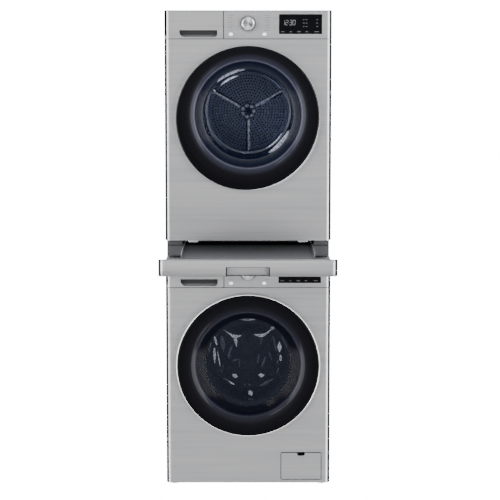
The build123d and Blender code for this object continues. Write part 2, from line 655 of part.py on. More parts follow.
def spring_brackets():
    """Two hangers folded from the side panels' inner faces."""
    z = WASHER_DOOR_Z + SPRING_TOP
    return pair(SPRING_X - 14, HALF - SHEET, SPRING_Y - 14, SPRING_Y + 14, z, z + 4)


def dampers():
    """Two friction dampers from the base to the tub's lower lugs."""
    group = Part()
    low, top = WASHER_Z + BASE_T, WASHER_DOOR_Z - DAMPER_DROP
    for side in (-1, 1):
        x = side * DAMPER_X
        group += rod_z(13, low, low + 90, x, SPRING_Y) + rod_z(6, low + 90, top - 8, x, SPRING_Y)
        group += rod_z(9, top - 8, top, x, SPRING_Y)
    return group


def flap_surround():
    """Moulded frame behind the flap opening, with the flap's pivot holes."""
    z0, z1 = WASHER_Z + FLAP_RISE, WASHER_Z + FLAP_RISE + FLAP_H
    outer = block(FLAP_X0 - 8, FLAP_X1 + 8, SHEET, 24, z0 - 6, z1 + 6)
    outer -= block(FLAP_X0 - 2, FLAP_X1 + 2, 0, 25, z0 - 3, z1 + 2)
    return outer - rod_x(2 + PIN_FIT, FLAP_X0 - 6, FLAP_X1 + 6, FLAP_PIN_Y, z0 + FLAP_PIN_RISE)


def washer_base():
    """Moulded base tray, with the corner blocks that the feet screw into."""
    half = HALF - FLANGE - 0.2
    y0, y1 = EDGE_R + SHEET, WASHER_D - 8
    z = WASHER_Z + SHEET
    tray = block(-half, half, y0, y1, z, WASHER_Z + WASHER_BASE_H)
    tray -= block(-half + 3, half - 3, y0 + 3, y1 - 3, WASHER_Z + BASE_T, WASHER_Z + WASHER_BASE_H + 1)
    tray += flap_surround()
    tray -= rod_y(CAP_R + 4, 0, 30, PUMP_X, PUMP_Z)
    for y in (FOOT_Y, WASHER_D - FOOT_Y):
        tray += pair(FOOT_X - 22, half, y - 16, y + 16, z, WASHER_Z + WASHER_BASE_H - 6)
        for x in (-FOOT_X, FOOT_X):
            tray -= rod_z(STUD_R + PIN_FIT, z - 1, z + 16, x, y)
    return tray


def feet():
    """Four levelling feet with their studs."""
    group = Part()
    outline = [(0, 0), (FOOT_R - 2, 0), (FOOT_R, 2), (FOOT_R, 5), (FOOT_R - 7, FOOT_GAP - 1)]
    outline += [(STUD_R, FOOT_GAP - 0.5), (STUD_R, FOOT_GAP + 14), (0, FOOT_GAP + 14)]
    for x in (-FOOT_X, FOOT_X):
        for y in (FOOT_Y, WASHER_D - FOOT_Y):
            group += turned_z(outline, x, y)
    return group


def flap():
    """Small service flap with a finger notch in its top edge and two pivot pegs at the bottom."""
    z0 = WASHER_Z + FLAP_RISE
    x0, x1 = FLAP_X0 + FLAP_GAP, FLAP_X1 - FLAP_GAP
    plate = block(x0, x1, 0, FLAP_T, z0 + FLAP_GAP, z0 + FLAP_H - FLAP_GAP)
    plate = fillet(plate.edges().filter_by(Axis.Y), FLAP_CORNER - FLAP_GAP)
    plate = fillet(plate.edges().group_by(Axis.Y)[0], 1.0)
    middle, top = (x0 + x1) / 2, z0 + FLAP_H - FLAP_GAP
    notch = block(middle - NOTCH_W / 2, middle + NOTCH_W / 2, -1, FLAP_T + 1, top - NOTCH_H, top + NOTCH_H)
    plate -= fillet(notch.edges().filter_by(Axis.Y), NOTCH_R)
    pin_z = z0 + FLAP_PIN_RISE
    for x in (x0 + 3, x1 - 9):
        plate += block(x, x + 6, FLAP_T - 0.5, FLAP_PIN_Y + 2, pin_z - 2.5, pin_z + 3)
    return plate + rod_x(2, x0 - 4, x0 + 5, FLAP_PIN_Y, pin_z) + rod_x(2, x1 - 5, x1 + 4, FLAP_PIN_Y, pin_z)


def pump():
    """Drain pump with the filter socket that faces the flap."""
    x, z = PUMP_X, PUMP_Z
    body = ring_y(CAP_R + 6, CAP_R + 0.6, 26, 70, x, z) + rod_y(CAP_R + 6, 70, 100, x, z)
    body += rod_y(24, 100, 150, x, z) + block(x - 20, x + 20, 50, 96, WASHER_Z + BASE_T, z)
    return body - rod_y(CAP_R + 0.6, 20, 70, x, z)


def filter_cap():
    """Screw-in filter cap with a grip bar and a slotted filter cage."""
    x, z = PUMP_X, PUMP_Z
    cap = rod_y(CAP_R, 22, 34, x, z) + block(x - 24, x + 24, 10, 22, z - 4, z + 4)
    cage = ring_y(CAP_R - 6, CAP_R - 9, 34, 64, x, z)
    for n in range(3):
        cage -= Pos(x, 0, z) * Rot(0, n * 60, 0) * block(-4, 4, 40, 58, -CAP_R, CAP_R)
    return cap + cage


def inlet_valves():
    """Twin water valve with two threaded spigots through the back panel."""
    x0, x1 = VALVE_X - 18, VALVE_X + VALVE_PITCH + 18
    body = block(x0, x1, WASHER_D - 48, WASHER_D - SHEET, VALVE_Z - 20, VALVE_Z + 20)
    for x in (VALVE_X, VALVE_X + VALVE_PITCH):
        body += rod_y(SPIGOT_R + ROOT_WALL, WASHER_D - SHEET, WASHER_D + ROOT_PROUD, x, VALVE_Z)
        body += rod_y(SPIGOT_R, WASHER_D, WASHER_D + SPIGOT_LENGTH, x, VALVE_Z)
        body -= rod_y(8, WASHER_D - 20, WASHER_D + SPIGOT_LENGTH + 1, x, VALVE_Z)
    return body


def drain_spigot():
    """Outlet for the drain hose, clipped through the back panel."""
    bore = DRAIN_R - 3
    body = ring_y(DRAIN_R, bore, WASHER_D, WASHER_D + SPIGOT_LENGTH, DRAIN_X, VALVE_Z)
    body += ring_y(DRAIN_R + ROOT_WALL, bore, WASHER_D - 30, WASHER_D + ROOT_PROUD, DRAIN_X, VALVE_Z)
    return body + ring_y(DRAIN_R + 6, bore, WASHER_D - 6, WASHER_D - SHEET, DRAIN_X, VALVE_Z)


def gland(x, z, depth):
    """Sleeve in the back panel that the mains lead would leave through."""
    body = ring_y(GLAND_R, LEAD_R, depth - 14, depth + 6, x, z)
    return body + ring_y(GLAND_R + 4, LEAD_R, depth - 5, depth - SHEET, x, z)


def washer_back():
    holes = rod_y(REAR_HOLE_R, WASHER_D - 5, WASHER_D + 5, 0, WASHER_DOOR_Z)
    root = ROOT_WALL + SEAT_GAP
    places = [(VALVE_X, SPIGOT_R + root), (VALVE_X + VALVE_PITCH, SPIGOT_R + root)]
    places += [(DRAIN_X, DRAIN_R + root), (GLAND_X, GLAND_R + SEAT_GAP)]
    for x, r in places:
        holes += rod_y(r, WASHER_D - 5, WASHER_D + 5, x, VALVE_Z)
    return back_panel(WASHER_D, WASHER_Z, holes)


def rear_cover():
    """Round cover over the motor."""
    y, r, t = WASHER_D, REAR_HOLE_R, SHEET
    outline = [(0, y + 6), (r - 20, y + 6), (r - 14, y + t), (r + 12, y + t), (r + 12, y), (r - 15, y)]
    outline += [(r - 21, y + 6 - t), (0, y + 6 - t)]
    return turned_y(outline, 0, WASHER_DOOR_Z)


def screws(depth, z0, rows):
    """Hexagon-headed sheet screws down both edges of a back panel."""
    group = Part()
    step = (BODY_H - TOP_T - 80) / (rows - 1)
    for n in range(rows):
        for x in (-HALF + 11, HALF - 11):
            z = z0 + 40 + n * step
            group += rod_y(4.5, depth, depth + 2, x, z)
    return group


# ---------------------------------------------------------------- dryer works
def dryer_drum():
    """Steel drum, open to the front bulkhead and closed by the drum back."""
    z, t, r = DRYER_DRUM_Z, DRUM_WALL, DRYER_DRUM_R
    outline = [(r - 14, DRYER_DRUM_Y0), (r, DRYER_DRUM_Y0 + 12), (r, DRYER_DRUM_Y1), (r - t, DRYER_DRUM_Y1)]
    outline += [(r - t, DRYER_DRUM_Y0 + 12.6), (r - 14 - t, DRYER_DRUM_Y0)]
    return turned_y(outline, 0, z)


def drum_paddles():
    """Three paddles along the dryer drum's wall."""
    group = Part()
    root = DRYER_DRUM_R - DRUM_WALL
    for n in range(3):
        paddle = block(-20, 20, DRYER_DRUM_Y0 + 30, DRYER_DRUM_Y1 - 26, -root - 2, -root + 60)
        paddle = fillet(paddle.edges().filter_by(Axis.Y).group_by(Axis.Z)[-1], 14)
        paddle -= ring_y(root + 40, root - SEAT_GAP, DRYER_DRUM_Y0, DRYER_DRUM_Y1, 0, 0)
        group += Pos(0, 0, DRYER_DRUM_Z) * Rot(0, 60 + n * 120, 0) * paddle
    return group


def drum_back():
    """Perforated back of the dryer drum: a raised ring, three pressed ribs and the shaft."""
    z, r, y = DRYER_DRUM_Z, DRYER_DRUM_R - DRUM_WALL, DRYER_DRUM_Y1
    b = BACK_DISH_R
    outline = [(0, y - 8), (b - 8, y - 8), (b - 2, y - 20), (b + 6, y - 22), (b + 14, y - 14)]
    outline += [(r - 20, y - 14), (r - 8, y - 4), (r, y - 4), (r, y), (r - 10, y), (r - 22, y - 11)]
    outline += [(b + 16, y - 11), (b + 6, y - 18), (b, y - 17), (b - 6, y - 5), (0, y - 5)]
    back = turned_y(outline, 0, z)
    for angle in (-60, 60, 180):
        rib = block(-6, 6, y - 16, y - 6.5, 26, b - 4)
        rib = fillet(rib.edges().group_by(Axis.Y)[0].filter_by(Axis.Z), 4)
        back += Pos(0, 0, z) * Rot(0, angle, 0) * rib
    return back + rod_y(10, y - 6, y + 40, 0, z)


def drum_hub():
    """Lobed cap over the shaft end inside the dryer drum."""
    z, y = DRYER_DRUM_Z, DRYER_DRUM_Y1 - 8
    cap = rod_y(26, y - 14, y, 0, z)
    lobes = 7
    for n in range(lobes):
        a = 2 * pi * n / lobes
        cap += rod_y(10, y - 18, y, 26 * sin(a), z + 26 * cos(a))
    return cap + rod_y(12, y - 22, y - 14, 0, z)


def front_bulkhead():
    """Moulded wall between the mouth and the drum, with the mouth's tunnel and the lint filter's slot."""
    z = DRYER_DOOR_Z
    y0, y1 = 20.0, DRYER_DRUM_Y0 - 0.5
    wall = block(-HALF + 4, HALF - 4, y1 - 12, y1 - 8, DRYER_Z + 130, DRYER_Z + SEAM_RISE + 8)
    wall -= rod_y(MOUTH_R + 4, 0, y1 + 30, 0, z)
    wall += ring_y(MOUTH_R + 8, MOUTH_R + 4, y0, y1 + 6, 0, z)
    wall -= block(-100, 100, 22, y1 - 16, z - MOUTH_R - 12, z - MOUTH_R + 25)
    return wall + pair(HALF - 4 - 8, HALF - SHEET, y1 - 12, y1 - 8, DRYER_Z + 300, DRYER_Z + 400)


def lint_filter():
    """Fold-up fluff filter standing in its slot under the mouth."""
    z = DRYER_DOOR_Z - MOUTH_R
    body = block(-96.6, 96.6, 25.4, 52.6, z - 62, z - 3)
    body -= block(-92, 92, 29, 49, z - 58, z - 2)
    return body


def filter_duct():
    """Duct that holds the fluff filter and leads the air down to the base."""
    z = DRYER_DOOR_Z - MOUTH_R
    duct = block(-102, 102, 22, DRYER_DRUM_Y0 - 12.5, DRYER_Z + DUCT_RISE, z - 12.3)
    return duct - block(-97, 97, 25, 53, DRYER_Z + DUCT_RISE - 1, z - 11)


def rear_bulkhead():
    """Steel wall behind the drum with the shaft bearing and the air inlet."""
    z, y = DRYER_DRUM_Z, DRYER_DRUM_Y1 + 12
    wall = block(-HALF + 4, HALF - 4, y, y + 2, DRYER_Z + DRYER_BASE_H, DRYER_Z + BODY_H - TOP_T - 4)
    wall += rod_y(24, y, y + 20, 0, z)
    return wall - rod_y(10 + PIN_FIT, y - 1, y + 40, 0, z) - block(-90, 90, y - 1, y + 3, z - 200, z - 110)


def drive_motor():
    """Induction motor lying in the base, shaft along y."""
    y = MOTOR_Y1
    body = rod_y(52, y - 120, y, MOTOR_X, MOTOR_Z) + rod_y(44, y - 128, y - 120, MOTOR_X, MOTOR_Z)
    body += block(MOTOR_X - 30, MOTOR_X + 30, y - 100, y - 20, DRYER_Z + BASE_T, MOTOR_Z)
    return body - rod_y(MOTOR_SHAFT_R + PIN_FIT, y - 130, y + 2, MOTOR_X, MOTOR_Z)


def motor_pulley():
    """Motor shaft with the belt pulley in front."""
    shaft = rod_y(MOTOR_SHAFT_R, BELT_Y - 10, MOTOR_Y1 + 2, MOTOR_X, MOTOR_Z)
    shaft += rod_y(PULLEY_R, BELT_Y - 2, BELT_Y + BELT_W, MOTOR_X, MOTOR_Z)
    return shaft + ring_y(PULLEY_R + 3, 5, BELT_Y + BELT_W, BELT_Y + BELT_W + 3, MOTOR_X, MOTOR_Z)


def fan_wheel():
    """Blower wheel on the motor's rear shaft end."""
    y = MOTOR_Y1 + 2
    wheel = rod_y(40, y + 34, y + 37, MOTOR_X, MOTOR_Z) + rod_y(9, y, y + 34, MOTOR_X, MOTOR_Z)
    blades = 12
    for n in range(blades):
        blade = block(-1, 1, y + 4, y + 34, 22, 40)
        wheel += Pos(MOTOR_X, 0, MOTOR_Z) * Rot(0, n * 360 / blades, 0) * blade
    return wheel


def belt():
    """Flat belt round the drum and the motor pulley, drawn as it runs."""
    z = DRYER_DRUM_Z
    big, small = DRYER_DRUM_R + SEAT_GAP, PULLEY_R + SEAT_GAP
    outer = belt_loop(big + BELT_T, small + BELT_T)
    return outer - belt_loop(big, small)


def belt_loop(big, small):
    """Two discs and the straight-sided strip between their outer tangents, as one solid."""
    dx, dz = MOTOR_X, MOTOR_Z - DRYER_DRUM_Z
    reach = sqrt(dx * dx + dz * dz)
    lean = (big - small) / reach
    side = sqrt(1 - lean * lean)
    ux, uz = dx / reach, dz / reach
    corners = []
    for sign in (1, -1):
        nx, nz = lean * ux - sign * side * uz, lean * uz + sign * side * ux
        corners.append(((big * nx, big * nz), (dx + small * nx, dz + small * nz)))
    (a, b), (d, c) = corners
    end = BELT_Y + BELT_W
    loop = Pos(0, 0, DRYER_DRUM_Z) * prism_y([a, b, c, d], BELT_Y, end)
    return loop + rod_y(big, BELT_Y, end, 0, DRYER_DRUM_Z) + rod_y(small, BELT_Y, end, MOTOR_X, MOTOR_Z)


def dryer_base():
    """Moulded base with the air channels' side walls."""
    half = HALF - FLANGE - 0.2
    z = DRYER_Z + SHEET
    tray = block(-half, half, EDGE_R + SHEET, DRYER_D - 8, z, DRYER_Z + DRYER_BASE_H)
    y0, y1 = EDGE_R + SHEET + 4, DRYER_D - 12
    tray -= block(-half + 4, half - 4, y0, y1, DRYER_Z + BASE_T, DRYER_Z + DRYER_BASE_H + 1)
    hole_r = OUTLET_R + ROOT_WALL + SEAT_GAP
    tray -= rod_y(hole_r, DRYER_D - 15, DRYER_D, DRAIN_X, DRYER_Z + OUTLET_RISE)
    y = DRYER_DRUM_Y0 + 51
    return tray + block(-half + 3, half - 3, y, y + 5, z, DRYER_Z + DRYER_BASE_H)


def compressor():
    """Heat pump compressor: a domed can on three feet."""
    z = DRYER_Z + BASE_T
    outline = [(0, z), (70, z), (70, z + 4), (52, z + 6), (52, z + 100), (44, z + 114)]
    outline += [(24, z + 122), (0, z + 124)]
    return turned_z(outline, COMPRESSOR_X, COMPRESSOR_Y)


def heat_exchanger():
    """Evaporator and condenser: two blocks of fins between end plates."""
    z0, z1 = DRYER_Z + BASE_T, DRYER_Z + 118
    group = Part()
    for y in (140, 260):
        block_of = block(COIL_X0, COIL_X1, y, y + 110, z0, z0 + 8)
        count = 20
        step = (COIL_X1 - COIL_X0) / count
        for n in range(count + 1):
            x = COIL_X0 + n * step
            block_of += block(max(x - 1, COIL_X0), min(x + 1, COIL_X1), y, y + 110, z0, z1)
        group += block_of
    return group


def dryer_back():
    z = DRYER_DRUM_Z
    holes = rod_y(GLAND_R + SEAT_GAP, DRYER_D - 5, DRYER_D + 5, GLAND_X, DRYER_Z + VALVE_RISE - 10)
    outlet_hole = OUTLET_R + ROOT_WALL + SEAT_GAP
    holes += rod_y(outlet_hole, DRYER_D - 5, DRYER_D + 5, DRAIN_X, DRYER_Z + OUTLET_RISE)
    for n in range(9):
        holes += block(-110, 110, DRYER_D - 5, DRYER_D + 5, z - 190 + n * 14, z - 184 + n * 14)
    return back_panel(DRYER_D, DRYER_Z, holes)


def condensate_spigot():
    """Small outlet for plumbing the dryer's water away."""
    z = DRYER_Z + OUTLET_RISE
    bore = OUTLET_R - 2
    body = ring_y(OUTLET_R, bore, DRYER_D, DRYER_D + OUTLET_PROUD, DRAIN_X, z)
    body += ring_y(OUTLET_R + ROOT_WALL, bore, DRYER_D - 20, DRYER_D + ROOT_PROUD, DRAIN_X, z)
    return body + ring_y(OUTLET_R + 4, bore, DRYER_D - 5, DRYER_D - SHEET, DRAIN_X, z)


# ---------------------------------------------------------------- stacking kit
def kit_frame():
    """Two side housings joined by cross pieces; it stands on the washer and carries the dryer."""
    x0, x1 = HOUSING_X, HOUSING_X + HOUSING_W
    y0, y1 = HOUSING_SETBACK, HOUSING_SETBACK + KIT_D
    z0, z1 = KIT_Z, DRYER_Z
    frame = pair(x0, x1, y0, y1, z0 + 11, z1)
    frame -= pair(x0 - 1, x1 + 1, y0 - 1, y0 + 10, z1 - 23, z1 - 20)
    frame -= pair(x0 - 1, x1 + 1, y0 - 1, y0 + 3, z1 - 20, z1 + 1)
    frame -= pair(x0 + 4, x1 - 4, y0 + 30, y1 - 20, z0 + 10, z1 - 8)
    for y in (y0 + 40, y1 - 60):
        frame += pair(x0 + 4, x1 - 4, y, y + 30, z0, z1 - 7)
    frame += block(-x0 - 5, x0 + 5, y1 - 16, y1, z0 + 14, z1 - 10)
    for y in (y0 + 45, y1 - 55):
        frame += block(-x0 - 5, x0 + 5, y, y + 20, z0, z0 + 3)
    return frame


def kit_brackets():
    """Four pads that grip the dryer's underside."""
    group = Part()
    for x in (-199, 199):
        for y in (32, HOUSING_SETBACK + KIT_D - 60):
            group += block(x - 18, x + 18, y, y + 30, DRYER_Z - 10, DRYER_Z + SHEET)
    return group


def rail_fixed():
    """Channel rails on the housings' inner faces."""
    x = HOUSING_X
    y0, y1 = HOUSING_SETBACK + 10, HOUSING_SETBACK + 10 + RAIL_LENGTH
    rail = pair(x - RAIL_STACK + 3.5, x, y0, y1, RAIL_Z - 16, RAIL_Z + 16)
    return rail - pair(x - RAIL_STACK, x - 3.5, y0 - 1, y1 + 1, RAIL_Z - 12.5, RAIL_Z + 12.5)


def rail_middle():
    """Sliding members between the fixed rails and the shelf, half way out."""
    x = HOUSING_X
    y0 = HOUSING_SETBACK + 10 - SHELF_TRAVEL / 2
    x0, x1 = x - RAIL_STACK + 3.5 + RAIL_PLAY, x - 3.5 - RAIL_PLAY
    return pair(x0, x1, y0, y0 + RAIL_LENGTH, RAIL_Z - 12.5 + RAIL_PLAY, RAIL_Z + 12.5 - RAIL_PLAY)


def rail_shelf():
    """Inner rail members screwed to the shelf."""
    x = HOUSING_X
    y0 = HOUSING_SETBACK + 10 - SHELF_TRAVEL
    return pair(x - RAIL_STACK, x - RAIL_STACK + 3.5, y0, y0 + RAIL_LENGTH, RAIL_Z - 9, RAIL_Z + 9)


def shelf_tray():
    """Shelf: a flat floor with raised side rims over a folded pan."""
    half = HOUSING_X - RAIL_STACK
    y0 = SHELF_FRONT_T - SHELF_TRAVEL
    y1 = y0 + TRAY_LENGTH
    top = DRYER_Z - 15
    tray = block(-half, half, y0, y1, top - 30, top)
    tray -= block(-half + 3, half - 3, y0 + 3, y1 - 3, top - 31, top - 3)
    rims = pair(half - 4, half, y0, y1, top, top + 3.5) + block(-half, half, y1 - 4, y1, top, top + 3.5)
    for n in range(3):
        x = -120 + n * 120
        rims += block(x - 2, x + 2, y0 + 2, y1 - 2, top - 24, top - 2)
    return tray + rims


def shelf_front():
    """Full-width front of the shelf with rounded ends and a grip recess open at the bottom."""
    z1 = DRYER_Z - SHELF_TOP_GAP
    z0 = z1 - SHELF_FRONT_H
    t = PANEL_T
    skin = rounded_front(HALF, 0, SHELF_FRONT_T, z0, z1, EDGE_R)
    room = rounded_front(HALF - t, t, SHELF_FRONT_T - t, z0 + t, z1 - t, EDGE_R - t)
    skin -= room
    half = SHELF_GRIP_W / 2
    skin += block(-half - t, half + t, 0, SHELF_GRIP_DEPTH + t, z0, z0 + SHELF_GRIP_H + t)
    skin -= block(-half, half, -1, SHELF_GRIP_DEPTH, z0 - 1, z0 + SHELF_GRIP_H)
    skin -= block(-half, half, -1, SHELF_GRIP_DEPTH + t + 1, z0 - 1, z0 + 4)
    return Pos(0, -SHELF_TRAVEL, 0) * skin


def drum_seal():
    """Felt ring on the bulkhead's collar that the dryer drum's front edge turns on."""
    r = DRYER_DRUM_R - 16
    return ring_y(r, r - SEAL_T, DRYER_DRUM_Y0 - 8.5, DRYER_DRUM_Y0 + 8, 0, DRYER_DRUM_Z)


def together(*shapes):
    """Several separate solids under one name."""
    return Compound(children=[solid for shape in shapes for solid in shape.solids()])


def turned_pieces():
    """Everything that turns, slides or swings, by name."""
    pieces = {}
    for name, z in (("washer", WASHER_Z), ("dryer", DRYER_Z)):
        door_z = z + DOOR_RISE
        pieces[f"{name}_program_knob"] = knob(z)
        pieces[f"{name}_power_button"] = push_button(POWER_X, z)
        pieces[f"{name}_start_button"] = push_button(START_X, z)
        pieces[f"{name}_door_pin_and_hook"] = together(hinge_pin(door_z), door_hook(door_z))
    pieces["washer_door_cover"] = door_cover(WASHER_DOOR_Z, WASHER_DISH_RISE)
    pieces["washer_door_frame"] = door_frame(WASHER_DOOR_Z, WASHER_DISH_RISE, 0)
    pieces["washer_door_trim"] = door_trim(WASHER_DOOR_Z)
    pieces["washer_door_bowl"] = door_bowl(WASHER_DOOR_Z + WASHER_DISH_RISE)
    pieces["washer_detergent_drawer"] = detergent_drawer()
    pieces["washer_drum"] = drum()
    pieces["washer_drum_lifters"] = lifters()
    pieces["washer_drum_drive"] = together(spider(), rotor())
    pieces["washer_filter_cap"] = filter_cap()
    pieces["washer_filter_flap"] = flap()
    pieces["dryer_door_cover"] = door_cover(DRYER_DOOR_Z, DRYER_DISH_RISE)
    pieces["dryer_door_frame"] = door_frame(DRYER_DOOR_Z, DRYER_DISH_RISE, PLUG_R)
    pieces["dryer_water_tank"] = water_tank()
    pieces["dryer_drum"] = together(dryer_drum(), drum_paddles())
    pieces["dryer_drum_back"] = together(drum_back(), drum_hub())
    pieces["dryer_motor_shaft"] = together(motor_pulley(), fan_wheel())
    pieces["kit_rails_middle"] = rail_middle()
    pieces["shelf_tray"] = together(shelf_tray(), rail_shelf())
    pieces["shelf_front"] = shelf_front()
    return pieces


def fixed_pieces():
    """Everything that stays put, by name."""
    both = ((WASHER_Z, WASHER_D), (DRYER_Z, DRYER_D))
    pieces = {}
    for name, z, depth in (("washer", WASHER_Z, WASHER_D), ("dryer", DRYER_Z, DRYER_D)):
        pieces[f"{name}_side_panels"] = together(side_panel(-1, depth, z), side_panel(1, depth, z))
        pieces[f"{name}_top_panel"] = top_panel(depth, z)
        pieces[f"{name}_control_panel"] = control_panel(z)
    pieces["washer_back_panel"] = together(washer_back(), rear_cover())
    pieces["washer_front_panel"] = washer_front_panel()
    pieces["washer_base"] = washer_base()
    pieces["washer_feet"] = feet()
    pieces["washer_door_gasket"] = gasket()
    pieces["washer_tub"] = tub()
    pieces["washer_motor_stator"] = stator()
    pieces["washer_counterweight"] = counterweight()
    pieces["washer_suspension"] = together(springs(), spring_brackets(), dampers())
    pieces["washer_drain_pump"] = pump()
    pieces["washer_inlet_valves"] = inlet_valves()
    pieces["dryer_back_panel"] = dryer_back()
    pieces["dryer_front_panel"] = front_panel(DRYER_Z)
    pieces["dryer_base"] = dryer_base()
    pieces["dryer_bulkheads"] = together(front_bulkhead() + filter_duct(), rear_bulkhead(), drum_seal())
    pieces["dryer_lint_filter"] = lint_filter()
    pieces["dryer_drive_motor"] = drive_motor()
    pieces["dryer_belt"] = belt()
    pieces["dryer_heat_pump"] = together(compressor(), heat_exchanger())
    pieces["drawer_housings"] = together(drawer_housing(), tank_tray())
    pieces["display_windows"] = together(*[display(z) for z, _ in both])
    pieces["control_boards"] = together(*[control_board(z) for z, _ in both])
    hinges = [door_hinge(z + DOOR_RISE) for z, _ in both]
    locks = [door_lock(z + DOOR_RISE) for z, _ in both]
    pieces["door_hinges_and_locks"] = together(*hinges, *locks)
    glands = (gland(GLAND_X, VALVE_Z, WASHER_D), gland(GLAND_X, DRYER_Z + VALVE_RISE - 10, DRYER_D))
    pieces["rear_outlets"] = together(drain_spigot(), condensate_spigot(), *glands)
    pieces["cabinet_screws"] = together(screws(WASHER_D, WASHER_Z, 6), screws(DRYER_D, DRYER_Z, 6))
    pieces["kit_frame"] = together(kit_frame(), rail_fixed())
    pieces["kit_brackets"] = kit_brackets()
    return pieces


def main():
    os.makedirs("parts", exist_ok=True)
    pieces = {**fixed_pieces(), **turned_pieces()}
    for name, shape in pieces.items():
        export_step(Pos(0, FRONT_Y, 0) * shape, f"parts/{name}.step")
    print(len(pieces), "pieces")


if __name__ == "__main__":
    main()
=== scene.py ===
"""Looks for a washer with a dryer stacked on it: finishes, doors and drums in detail, light and camera.

Lengths are in millimetres and are turned to metres where a mesh is made. The fronts of both cabinets lie at
FRONT, the doors face -Y, and heights are measured from the floor.
"""

import json
import math

import bpy
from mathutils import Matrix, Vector


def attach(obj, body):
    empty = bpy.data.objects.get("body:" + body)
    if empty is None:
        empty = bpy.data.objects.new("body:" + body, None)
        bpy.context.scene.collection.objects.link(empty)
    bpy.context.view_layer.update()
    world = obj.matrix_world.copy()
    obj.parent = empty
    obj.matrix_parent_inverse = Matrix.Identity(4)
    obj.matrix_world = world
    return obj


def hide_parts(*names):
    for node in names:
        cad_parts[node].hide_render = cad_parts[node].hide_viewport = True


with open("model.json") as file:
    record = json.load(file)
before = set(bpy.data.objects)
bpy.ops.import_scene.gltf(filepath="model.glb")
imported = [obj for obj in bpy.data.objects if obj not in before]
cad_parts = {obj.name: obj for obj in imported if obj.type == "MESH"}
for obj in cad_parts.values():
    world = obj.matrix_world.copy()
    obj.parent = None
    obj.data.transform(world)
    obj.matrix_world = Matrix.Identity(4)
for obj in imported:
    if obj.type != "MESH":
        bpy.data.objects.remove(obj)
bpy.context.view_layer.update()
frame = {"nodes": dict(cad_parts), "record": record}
cad = frame["nodes"]

MM = 0.001
FRONT = -75.0             # the cabinets' flat fronts, along y
WASHER_LOW = 10.0         # undersides of the two cabinets
DRYER_LOW = 908.0
SEAM_RISE = 725.0         # lower edge of the control panels above a cabinet's underside
WASHER_DOOR = 451.0       # door axes above the floor
DRYER_DOOR = 1349.0
DOOR_R = 257.0
DOOR_FACE = FRONT - 24.0
DISH_R = 190.0
WASHER_DISH = WASHER_DOOR + 3.0
DRYER_DISH = DRYER_DOOR + 15.0
DRYER_DRUM = 1353.0
KNOB_RISE = 54.5
ROUND_STEPS = 144
COLLAR_STEPS = 72
HUB_STEPS = 84
HUB_LOBES = 7
SWEEP_GLOW = 16.0         # the floor seen straight, and through a window
SWEEP_BEHIND_WINDOW = 0.3
SIDE_PANEL_GLOW = 11.0    # the light panels at both sides
SOFTBOXES = [((-0.45, -0.72, 0.53), 5.0, 9.0, 12.0), ((0.45, -0.72, -0.53), 5.0, 9.0, 9.0)]
CAMERA_AWAY = 5794.0      # camera ahead of the fronts
CAMERA_TILT = 6.2         # degrees below level


def colour(text):
    """An sRGB hex value as the linear colour that the shaders take."""
    parts = [int(text[n:n + 2], 16) / 255 for n in (1, 3, 5)]
    return tuple(c / 12.92 if c <= 0.04045 else ((c + 0.055) / 1.055) ** 2.4 for c in parts) + (1.0,)


def add(tree, kind, inputs=None, **settings):
    """Adds a node. An input given as a socket is linked, any other value is set."""
    node = tree.nodes.new(kind)
    for name, value in settings.items():
        setattr(node, name, value)
    for socket, value in (inputs or {}).items():
        if isinstance(value, bpy.types.NodeSocket):
            tree.links.new(value, node.inputs[socket])
        else:
            node.inputs[socket].default_value = value
    return node


def finish(name, **sockets):
    """A new material with its shader's plain values set. Returns the material, its tree and its shader."""
    material = bpy.data.materials.new(name)
    material.use_nodes = True
    tree = material.node_tree
    shader = tree.nodes["Principled BSDF"]
    for socket, value in sockets.items():
        shader.inputs[socket.replace("_", " ")].default_value = value
    return material, tree, shader


def blend_of(tree, factor, low, high):
    """Two colours mixed by a factor."""
    mix = add(tree, "ShaderNodeMix", data_type="RGBA")
    tree.links.new(factor, mix.inputs["Factor"])
    for socket, value in ((mix.inputs[6], low), (mix.inputs[7], high)):
        if isinstance(value, bpy.types.NodeSocket):
            tree.links.new(value, socket)
        else:
            socket.default_value = value
    return mix.outputs[2]


# ---------------------------------------------------------------- finishes
def inked(tree, parts, boxes):
    """Where a face lies inside one of the upright boxes (x, z, half width, half height), in millimetres."""
    total = None
    for x, z, half_x, half_z in boxes:
        inside = []
        for part, centre, half in (("X", x, half_x), ("Z", z, half_z)):
            off = add(tree, "ShaderNodeMath", {0: parts.outputs[part], 1: centre * MM}, operation="SUBTRACT")
            size = add(tree, "ShaderNodeMath", {0: off.outputs[0]}, operation="ABSOLUTE")
            inside.append(add(tree, "ShaderNodeMapRange", {"Value": size.outputs[0], "From Min": (half + 0.5) * MM,
                                                           "From Max": (half - 0.3) * MM}).outputs[0])
        both = add(tree, "ShaderNodeMath", {0: inside[0], 1: inside[1]}, operation="MINIMUM").outputs[0]
        if total is not None:
            both = add(tree, "ShaderNodeMath", {0: total, 1: both}, operation="MAXIMUM").outputs[0]
        total = both
    return total


